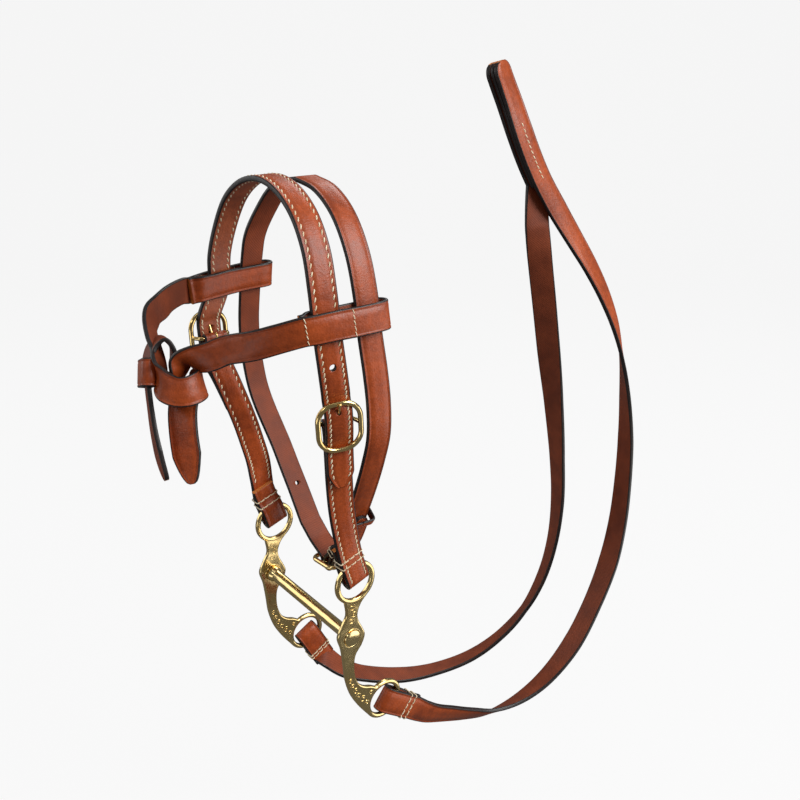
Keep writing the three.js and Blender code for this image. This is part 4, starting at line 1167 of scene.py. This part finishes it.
# ---- reins
NEAR_REIN = through(
    (40.2, 46.9, -73, 0.2, 0.6, 0.8), (39.4, 56, -80.6, 0.3, 0.5, 0.8),
    (39, 68, -88, 0.4, 0.4, 0.8), (40, 85, -97, 0.6, 0.3, 0.8),
    (43, 102, -103, 0.7, 0, 0.7), (46, 124, -103, 0.9, -0.2, 0.5),
    (49, 145, -95, 0.9, -0.3, 0.2), (51.5, 166, -77, 1, -0.1, 0.1),
    (51.5, 184, -53, 1, -0.1, 0.1), (51, 197, -27, 1, 0, 0),
    (49.5, 204.5, -1, 1, -0.1, 0.1), (48, 207.5, 26, 1, -0.2, 0),
    (46, 208.5, 54, 1, -0.3, 0.1), (43, 208, 80, 0.9, -0.5, 0.1),
    (40, 205, 106, 0.7, -0.7, -0.1), (37, 199.5, 127, 0.5, -0.8, -0.1),
    (32, 193, 146, 0.4, -0.9, -0.2), (26.5, 184.5, 164, 0.3, -0.9, -0.3),
    (20, 175.5, 181, 0.2, -0.9, -0.4), (14.5, 165.5, 198, 0.1, -0.8, -0.5),
)
HAND_JOINT = through(
    (10.4, 157, 213, 0.1, -0.9, -0.4), (7.6, 150.8, 226, 0.1, -0.9, -0.4),
    (4.6, 145.4, 240, 0.1, -1, -0.35), (0.6, 141, 255, 0.2, -1, -0.35),
    (-1.6, 137, 265.5, 0.25, -0.95, -0.35), (-3, 133, 275, 0.25, -0.9, -0.3),
)
FAR_REIN = through(
    (-36.4, 33, -75, 0.6, -0.7, -0.35), (-31.5, 42, -85, 0.7, -0.6, -0.2),
    (-26.5, 54.5, -93, 0.9, -0.4, -0.1), (-17, 78, -100.5, 0.9, -0.4, 0),
    (-9, 101, -102.5, 0.9, -0.3, 0.2), (-1, 126, -99, 0.9, -0.4, 0.3),
    (5, 147, -89, 0.8, -0.4, 0.4), (9.5, 165, -73, 0.7, -0.6, 0.3),
    (13.5, 176, -50, 0.8, -0.6, 0), (16, 181.5, -23, 0.9, -0.5, 0),
    (16.5, 183, 8, 0.9, -0.3, 0), (15, 181, 40, 1, -0.2, 0.1),
    (13, 176, 79, 1, 0.1, 0.1), (12, 169.5, 113, 0.9, 0.5, 0.1),
    (11.5, 163, 145, 0.8, 0.6, 0.1), (11.2, 157.8, 169, 0.7, 0.7, 0.2),
    (10.6, 154.4, 188, 0.4, 0.8, 0.3),
)
REIN_ENDS = {
    "near": (BIT_X, Vector((0, 0.78, -0.62)), Vector((0, 0.62, 0.78)), 1),
    "far": (-BIT_X, Vector((0, 0.45, -0.89)), Vector((0, -0.89, -0.45)), -1),
}
JOINT_STEP = REIN_THICKNESS + AIR
HAND_STITCH_TOP = 246                   # z


def rein_centre(x, u):
    return Vector((x, REIN_RING[0], REIN_RING[1])) + u * 2


def rein_closer(along):
    return (2 * FOLD_HALF - 0.5) * ease((along - 12) / 7)


def rein_end(side):
    """A rein end folded through its ring; the running part leaves on one side of it."""
    x, u, across, hand = REIN_ENDS[side]
    centre = rein_centre(x, u)
    radius = FOLD_HALF + REIN_THICKNESS / 2
    outward = Vector((hand, 0, 0))
    short = [
        (centre + u * along + outward * (rein_closer(along) - radius), across)
        for along in (27, 25, 23, 21, 19, 17, 15, 13.5, 12, 10, 8, 6, 4, 2)
    ]
    fold = arc(centre, outward, -u, radius, across, 180, 0, 16)
    running = [(centre + u * along + outward * radius, across) for along in (2, 4, 7, 10, 13, 16, 19, 22)]
    return short + fold + running


def round_tip(width):
    def at(s, total):
        left = max(total - s, 0.0)
        return 3 + (width - 3) * math.sqrt(max(0.0, 1 - (1 - left / 6) ** 2)) if left < 6 else width
    return at


def reins():
    joint = route(HAND_JOINT)
    layers = [[(f.at(0, -index * JOINT_STEP), f.a) for f in joint] for index in range(3)]
    near = rein_end("near") + line_of(route(NEAR_REIN + HAND_JOINT))
    back = [(p, -a) for p, a in layers[2]]
    far = rein_end("far") + line_of(route(FAR_REIN)) + back
    tip = round_tip(REIN_WIDTH)
    strap("near_rein_strap", near, REIN_THICKNESS, tip, "reins", ["near_rein"], ends=RAW)
    strap("far_rein_strap", far, REIN_THICKNESS, tip, "reins", ["far_rein"], ends=RAW)
    tip = round_tip(REIN_WIDTH - 1)
    strap("hand_filler", layers[1], REIN_THICKNESS - 0.2, tip, "reins", ["rein_middle_layer"], ends=RAW)
    rows = []
    due = 2.0
    for f in joint:
        if f.s < due or f.p.z > HAND_STITCH_TOP:
            continue
        due = f.s + STITCH_DUE
        lean = f.t + f.a * 0.2
        off = REIN_THICKNESS / 2 + STITCH_LIFT
        rows.append(stitch(f.at(0, off), lean, f.n))
        rows.append(stitch(f.at(0, -2 * JOINT_STEP - off), lean, -f.n))
    sew("hand_stitching", rows, "reins")
    for side, (x, u, across, hand) in REIN_ENDS.items():
        for index, (along, closer) in enumerate(((15.6, 0.9), (19.6, 2.4))):
            centre = rein_centre(x, u) + u * along + Vector((hand * closer / 2, 0, 0))
            depth = 2 * (FOLD_HALF + REIN_THICKNESS) - closer
            bound_thread(f"{side}_rein", index, Station(centre, u, across), (REIN_WIDTH, depth), "reins")


# ---- floor and light
FLOOR_Z = -0.46


def pale_backdrop():
    """A pale floor that curves up behind the part, lit from itself so that it stays even."""
    s = Shader("pale_backdrop", Roughness=0.9, Specular_IOR_Level=0.0, Emission_Strength=0.9)
    s.feed(s.bsdf, {"Base Color": (0.05, 0.05, 0.05, 1), "Emission Color": (1, 1, 1, 1)})
    bm = bmesh.new()
    away = Vector((-VIEW_BACK.x, -VIEW_BACK.y, 0)).normalized()
    across = Vector((-away.y, away.x, 0))
    bends = [math.radians(6 * k) for k in range(1, 16)]
    profile = [(-2.5, 0.0), (1.6, 0.0)]
    profile += [(1.6 + 0.8 * math.sin(a), 0.8 - 0.8 * math.cos(a)) for a in bends]
    profile.append((2.4, 3.2))
    rings = []
    for d, h in profile:
        middle = away * d + Vector((0, 0, FLOOR_Z + h))
        rings.append([bm.verts.new(middle + across * w) for w in (-3, 3)])
    for a, b in zip(rings, rings[1:]):
        bm.faces.new((a[0], a[1], b[1], b[0])).smooth = True
    mesh = bpy.data.meshes.new("backdrop")
    bm.to_mesh(mesh)
    bm.free()
    mesh.materials.append(s.material)
    obj = bpy.data.objects.new("backdrop", mesh)
    obj.visible_diffuse = False
    obj.visible_glossy = False
    show(obj)


LIGHTS_MEET = Vector((0.0, 0.05, -0.1))
LIGHTS = (                              # name, place, size, power
    ("key", (0.95, 0.62, 0.66), (0.9, 0.8), 21),
    ("front", (0.25, -1.0, 0.75), (0.45, 0.3), 1.8),
    ("left_panel", (-1.0, -0.7, 0.3), (1.0, 1.0), 5),
    ("overhead", (-0.1, -0.1, 1.2), (0.8, 0.8), 2),
    ("right_low", (0.75, 0.85, -0.45), (1.0, 0.8), 5),
    ("back_left", (-0.6, 0.9, 0.7), (0.6, 0.6), 4),
    ("low_front", (0.1, -1.2, -0.4), (0.9, 0.5), 2),
)
WORLD_STRENGTH = 0.15


def soft_light(name, at, size, power):
    data = bpy.data.lights.new(name, "AREA")
    data.shape = "RECTANGLE"
    data.size, data.size_y = size
    data.energy = power
    obj = bpy.data.objects.new(name, data)
    turn = (LIGHTS_MEET - Vector(at)).to_track_quat("-Z", "Y").to_matrix().to_4x4()
    obj.matrix_world = Matrix.Translation(Vector(at)) @ turn
    show(obj)


def studio():
    pale_backdrop()
    for light in LIGHTS:
        soft_light(*light)
    world = bpy.data.worlds.new("studio")
    world.use_nodes = True
    background = world.node_tree.nodes["Background"]
    background.inputs["Color"].default_value = (1, 1, 1, 1)
    background.inputs["Strength"].default_value = WORLD_STRENGTH
    bpy.context.scene.world = world
    bpy.context.scene.view_settings.view_transform = "Standard"


# ---- build
make_camera()
studio()
headpiece()
throatlatch()
knot()
mouthpiece()
reins()
for hand in ("near", "far"):
    cheekpiece(hand)
    cheek_buckle(hand)
    bit_cheek(hand)
